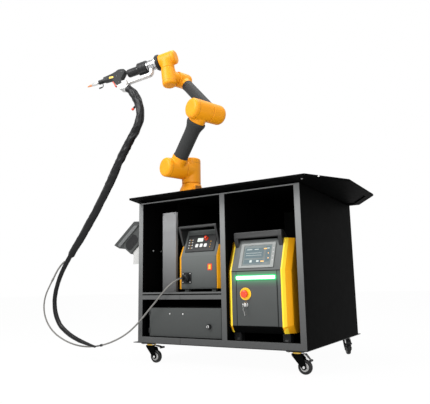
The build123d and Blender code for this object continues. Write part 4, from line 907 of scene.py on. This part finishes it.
lathe(top, [(0, -1), (10, -1), (10, 3), (12.5, 4), (12.5, 8), (10, 10), (0, 10)], 32)
piece("pendant_stop", "red_plastic")
for step in range(4):
    prism(top, rounded(16, 8, 2, 3, (40 + 26 * step, 0)), -1, 1.6)
piece("pendant_keys", "grey_plastic", look="key_white")

# Hose sleeve and wire conduit, with routes in metres

SLEEVE_Y = -0.602
sleeve_points = [
    (-0.55246, -0.59639, 1.73889), (-0.51363, -0.59247, 1.70918), (-0.484, -0.592, 1.662), (-0.45, -0.594, 1.604),
    (-0.438, -0.598, 1.53),
]
sleeve_points += [(x, SLEEVE_Y, z) for x, z in (
    (-0.452, 1.462), (-0.498, 1.398), (-0.556, 1.326), (-0.614, 1.24), (-0.69, 1.112), (-0.772, 0.988),
    (-0.866, 0.864), (-0.966, 0.74), (-1.066, 0.622), (-1.14, 0.5), (-1.172, 0.36), (-1.124, 0.23),
    (-1.012, 0.16), (-0.89, 0.118), (-0.786, 0.098),
)]
conduit_points = [
    (-0.24, -0.406, 0.505), (-0.24, -0.44, 0.505), (-0.256, -0.474, 0.492), (-0.29, -0.498, 0.462),
    (-0.336, -0.502, 0.42), (-0.386, -0.502, 0.368), (-0.436, -0.502, 0.322), (-0.488, -0.502, 0.27),
    (-0.542, -0.506, 0.22), (-0.6, -0.514, 0.174), (-0.672, -0.524, 0.136), (-0.754, -0.534, 0.106),
    (-0.846, -0.54, 0.088), (-0.942, -0.546, 0.084), (-1.036, -0.556, 0.098), (-1.124, -0.568, 0.13),
    (-1.2, -0.58, 0.176), (-1.256, -0.59, 0.246), (-1.276, -0.598, 0.326), (-1.258, -0.604, 0.404),
    (-1.218, -0.606, 0.47), (-1.176, -0.606, 0.528),
]
# Distance along the sleeve in m, half its width and half its thickness in mm
sleeve_girth = [
    (0.0, 22, 22), (0.06, 27, 23), (0.25, 26, 23), (0.46, 28, 21), (0.60, 30, 18), (0.72, 31, 15),
    (1.00, 31, 13), (1.18, 30, 12), (1.28, 27, 13), (1.30, 17, 12), (1.47, 14.5, 12), (1.60, 14, 12),
    (1.75, 15.5, 12), (2.00, 13, 11), (2.09, 9, 7), (2.2, 4, 3),
]
SLEEVE_STEPS, SLEEVE_SPACING, CONDUIT_STEPS, CONDUIT_SPACING = 48, 0.004, 16, 0.006
FLAP_ANGLE, FLAP_HALF, FLAP_HEIGHT = 4.35, 0.3, 0.001
CREASE_UPPER, CREASE_LOWER, UPPER_RUN = 0.14, 0.085, 0.75


def centre_line(points):
    """Points along the cord's open curve, in metres."""
    data = bpy.data.curves.new("route", "CURVE")
    data.dimensions = "3D"
    data.resolution_u = 16
    line = data.splines.new("NURBS")
    line.points.add(len(points) - 1)
    for point, place in zip(line.points, points):
        point.co = (*place, 1)
    line.order_u = 3
    line.use_endpoint_u = True
    carrier = linked("route", data)
    mesh = bpy.data.meshes.new_from_object(carrier)
    found = [vert.co.copy() for vert in mesh.vertices]
    bpy.data.objects.remove(carrier)
    bpy.data.meshes.remove(mesh)
    bpy.data.curves.remove(data)
    return found


def between(table, place):
    """Values read from rows of a place and its values, by straight lines."""
    for low, high in zip(table, table[1:]):
        if place <= high[0]:
            break
    share = min(1.0, max(0.0, (place - low[0]) / max(1e-9, high[0] - low[0])))
    return [a + (b - a) * share for a, b in zip(low[1:], high[1:])]


def evenly(points, step):
    """Points and their distances along a line, a step apart."""
    rows = [(0.0, *points[0])]
    for first, after in zip(points, points[1:]):
        rows.append((rows[-1][0] + (after - first).length, *after))
    length = rows[-1][0]
    count = max(2, round(length / step))
    runs = [length * number / count for number in range(count + 1)]
    return [(Vector(between(rows, run)), run) for run in runs]


def crease(angle, run):
    """Folds of loose cloth that run slantwise round the hose, between -1 and 1."""
    slanted = angle + 6 * run
    round_hose = Vector((cos(slanted), sin(slanted), 0))
    coarse = noise.noise(round_hose * 0.9 + Vector((3.1, 1.7, 13 * run)))
    fine = noise.noise(round_hose * 1.9 + Vector((7.3, 4.9, 31 * run)))
    return max(-1.0, min(1.0, 0.75 * (1 - 3.4 * abs(coarse)) + 0.35 * (1 - 3.4 * abs(fine))))


def draw_sleeve(first, last):
    """Wrinkled hose sleeve over a run of its rings, closed at the hose's own ends."""
    final = len(sleeve_rings) - 1
    made = []
    for place in range(first, last + 1):
        point, run, wide, thin = sleeve_rings[place]
        ahead = (sleeve_rings[min(place + 1, final)][0] - sleeve_rings[max(place - 1, 0)][0]).normalized()
        flat = Vector((0, 1, 0))
        flat = (flat - ahead * flat.dot(ahead)).normalized()
        broad = ahead.cross(flat)
        verts = []
        for step in range(SLEEVE_STEPS):
            angle = 2 * pi * step / SLEEVE_STEPS
            from_flap = (angle - FLAP_ANGLE + pi) % (2 * pi) - pi
            flap = FLAP_HEIGHT if abs(from_flap) < FLAP_HALF else 0.0
            grow = 1 + crease(angle, run) * (CREASE_UPPER if run < UPPER_RUN else CREASE_LOWER)
            across = broad * cos(angle) * (wide * grow + flap)
            through = flat * sin(angle) * (thin * grow + flap)
            verts.append(work.verts.new(point + across + through))
        made.append(verts)
    skin(made)
    if first == 0:
        work.faces.new(made[0])
    if last == final:
        work.faces.new(made[-1])


sleeve_rings = []
for point, run in evenly(centre_line(sleeve_points), SLEEVE_SPACING):
    wide, thin = between(sleeve_girth, run)
    sleeve_rings.append((point, run, wide * METRE, thin * METRE))

# The upper sleeve is drawn in pieces between these heights
heights = [1.665, 1.610, 1.530, 1.450, 1.330, 1.030]
marks = [0]
for height in heights:
    marks.append(next(number for number, row in enumerate(sleeve_rings) if row[0].z <= height))
for number, (low, high) in enumerate(zip(marks, marks[1:])):
    draw_sleeve(low, high)
    made = closed(f"sleeve_{number + 1}", "sleeve_fabric")
    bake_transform(made)
draw_sleeve(marks[-1], len(sleeve_rings) - 1)
lower = closed("sleeve_lower", "sleeve_fabric")
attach(lower, "cart")
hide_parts("hose_sleeve")

# The conduit gives way to the control box door where it hangs in front of it
conduit_line = centre_line(conduit_points)
conduit_rings = [point for point, run in evenly(conduit_line, CONDUIT_SPACING)]
sweep(conduit_rings, circle(5 * METRE, CONDUIT_STEPS), (0, 0, 1))
conduit = closed("conduit", "conduit_grey")
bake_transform(conduit)
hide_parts("feed_conduit")

lead = [Vector(point) for point in ((-1184, -606, 517), (-1176, -606, 528), (-1160, -607, 551), (-1138, -607, 580),
                                    (-1114, -606, 606), (-1092, -605, 624), (-1078, -604, 633))]
sweep(lead, circle(5.6), (0, 1, 0))
ring(basis(lead[0], lead[1] - lead[0], (0, 1, 0)),
     [(5.1, -18), (5.8, -18), (6.8, -8), (6.8, 8), (5.8, 14), (5.1, 14)], 24)
conduit_lead = piece("conduit_lead", "conduit_grey", angle=50)

tail = sleeve_rings[-1][0] / METRE
near = min((point / METRE for point in conduit_rings), key=lambda point: (point - tail).length)
strap_line = [tail + Vector((4, -4, 0)), tail.lerp(near, 0.3), tail.lerp(near, 0.7), near + Vector((0, 2, 0))]
sweep(strap_line, rounded(16, 3.4, 1.2, 3), (1, 0, 0))
ring(basis(near, (-1, -0.06, -0.2), up_dir), [(5.2, -8), (7.4, -8), (7.8, -6), (7.8, 6), (7.4, 8), (5.2, 8)], 24)
lathe(basis(tail, (-1, 0, 0.2), up_dir), drum(6.5, -6, 16, 2, 2, 4), 24)
sleeve_strap = piece("sleeve_strap", angle=50)

stub_line = [Vector((-462, -575, 1632)), Vector((-486, -583, 1612)), Vector((-506, -590, 1590))]
sweep(stub_line, circle(7, 18), (0, 1, 0))
piece("sleeve_stub", body="wrist_1_link")
stub_end = basis(stub_line[-1], stub_line[-1] - stub_line[-2], (0, 1, 0))
lathe(stub_end, [(0, -3), (8.5, -3), (8.5, 9), (6.5, 13), (0, 13)], 24)
piece("sleeve_stub_cap", "red_plastic", "wrist_1_link")

# Floor, backdrop and lamps


def show(tree, first, second, factor, output):
    """Mix of two shaders on an output."""
    mix = add(tree, "MixShader", {"Fac": factor, 1: first.outputs[0], 2: second.outputs[0]})
    wire(tree, tree.nodes[output], {"Surface": mix.outputs[0]})


def seen_rays(tree):
    """1 where the camera sees the surface, straight or in a reflection."""
    rays = add(tree, "LightPath").outputs
    found = rays["Is Camera Ray"]
    for kind in ("Is Glossy Ray", "Is Transmission Ray"):
        found = add(tree, "Math", {0: found, 1: rays[kind]}, operation="MAXIMUM").outputs[0]
    return found


FLOOR_HALF, FLOOR_WHITE, ROOM_LIGHT = 30, 0.97, 0.55
bmesh.ops.create_grid(work, x_segments=2, y_segments=2, size=FLOOR_HALF)
floor_data = bpy.data.meshes.new("floor")
work.to_mesh(floor_data)
work.free()
floor = linked("floor", floor_data)
floor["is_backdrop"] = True

floor_paint = bpy.data.materials.new("floor")
floor_paint.use_nodes = True
tree = floor_paint.node_tree
matt = tree.nodes["Principled BSDF"]
wire(tree, matt, {"Base Color": (0.9, 0.9, 0.9, 1), "Roughness": 0.9, **shine(0.1)})
seen = add(tree, "Math", {0: seen_rays(tree), 1: FLOOR_WHITE}, operation="MULTIPLY").outputs[0]
show(tree, matt, add(tree, "Emission"), seen, "Material Output")
floor_data.materials.append(floor_paint)

scene.world = bpy.data.worlds.new("studio")
scene.world.use_nodes = True
tree = scene.world.node_tree
room = tree.nodes["Background"]
wire(tree, room, {"Color": (1, 1, 1, 1), "Strength": ROOM_LIGHT})
backdrop = add(tree, "Background", {"Color": (1, 1, 1, 1), "Strength": 1.0})
show(tree, room, backdrop, seen_rays(tree), "World Output")

# Square soft lamps: place, target, size in m, watts
for name, place, target, size, watts in (
    ("key", (-1.2, -3.2, 2.9), (0, 0, 0.9), 1.8, 105),
    ("fill", (2.2, -3.2, 1.6), (0, 0, 0.9), 2.5, 55),
    ("top", (0.3, -0.4, 4.2), (0, 0, 1), 2.5, 80),
):
    lamp_data = bpy.data.lights.new(name, "AREA")
    lamp_data.size = size
    lamp_data.energy = watts
    lamp = linked(name, lamp_data)
    lamp.location = place
    lamp.rotation_euler = (Vector(target) - Vector(place)).to_track_quat("-Z", "Y").to_euler()

low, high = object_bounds()
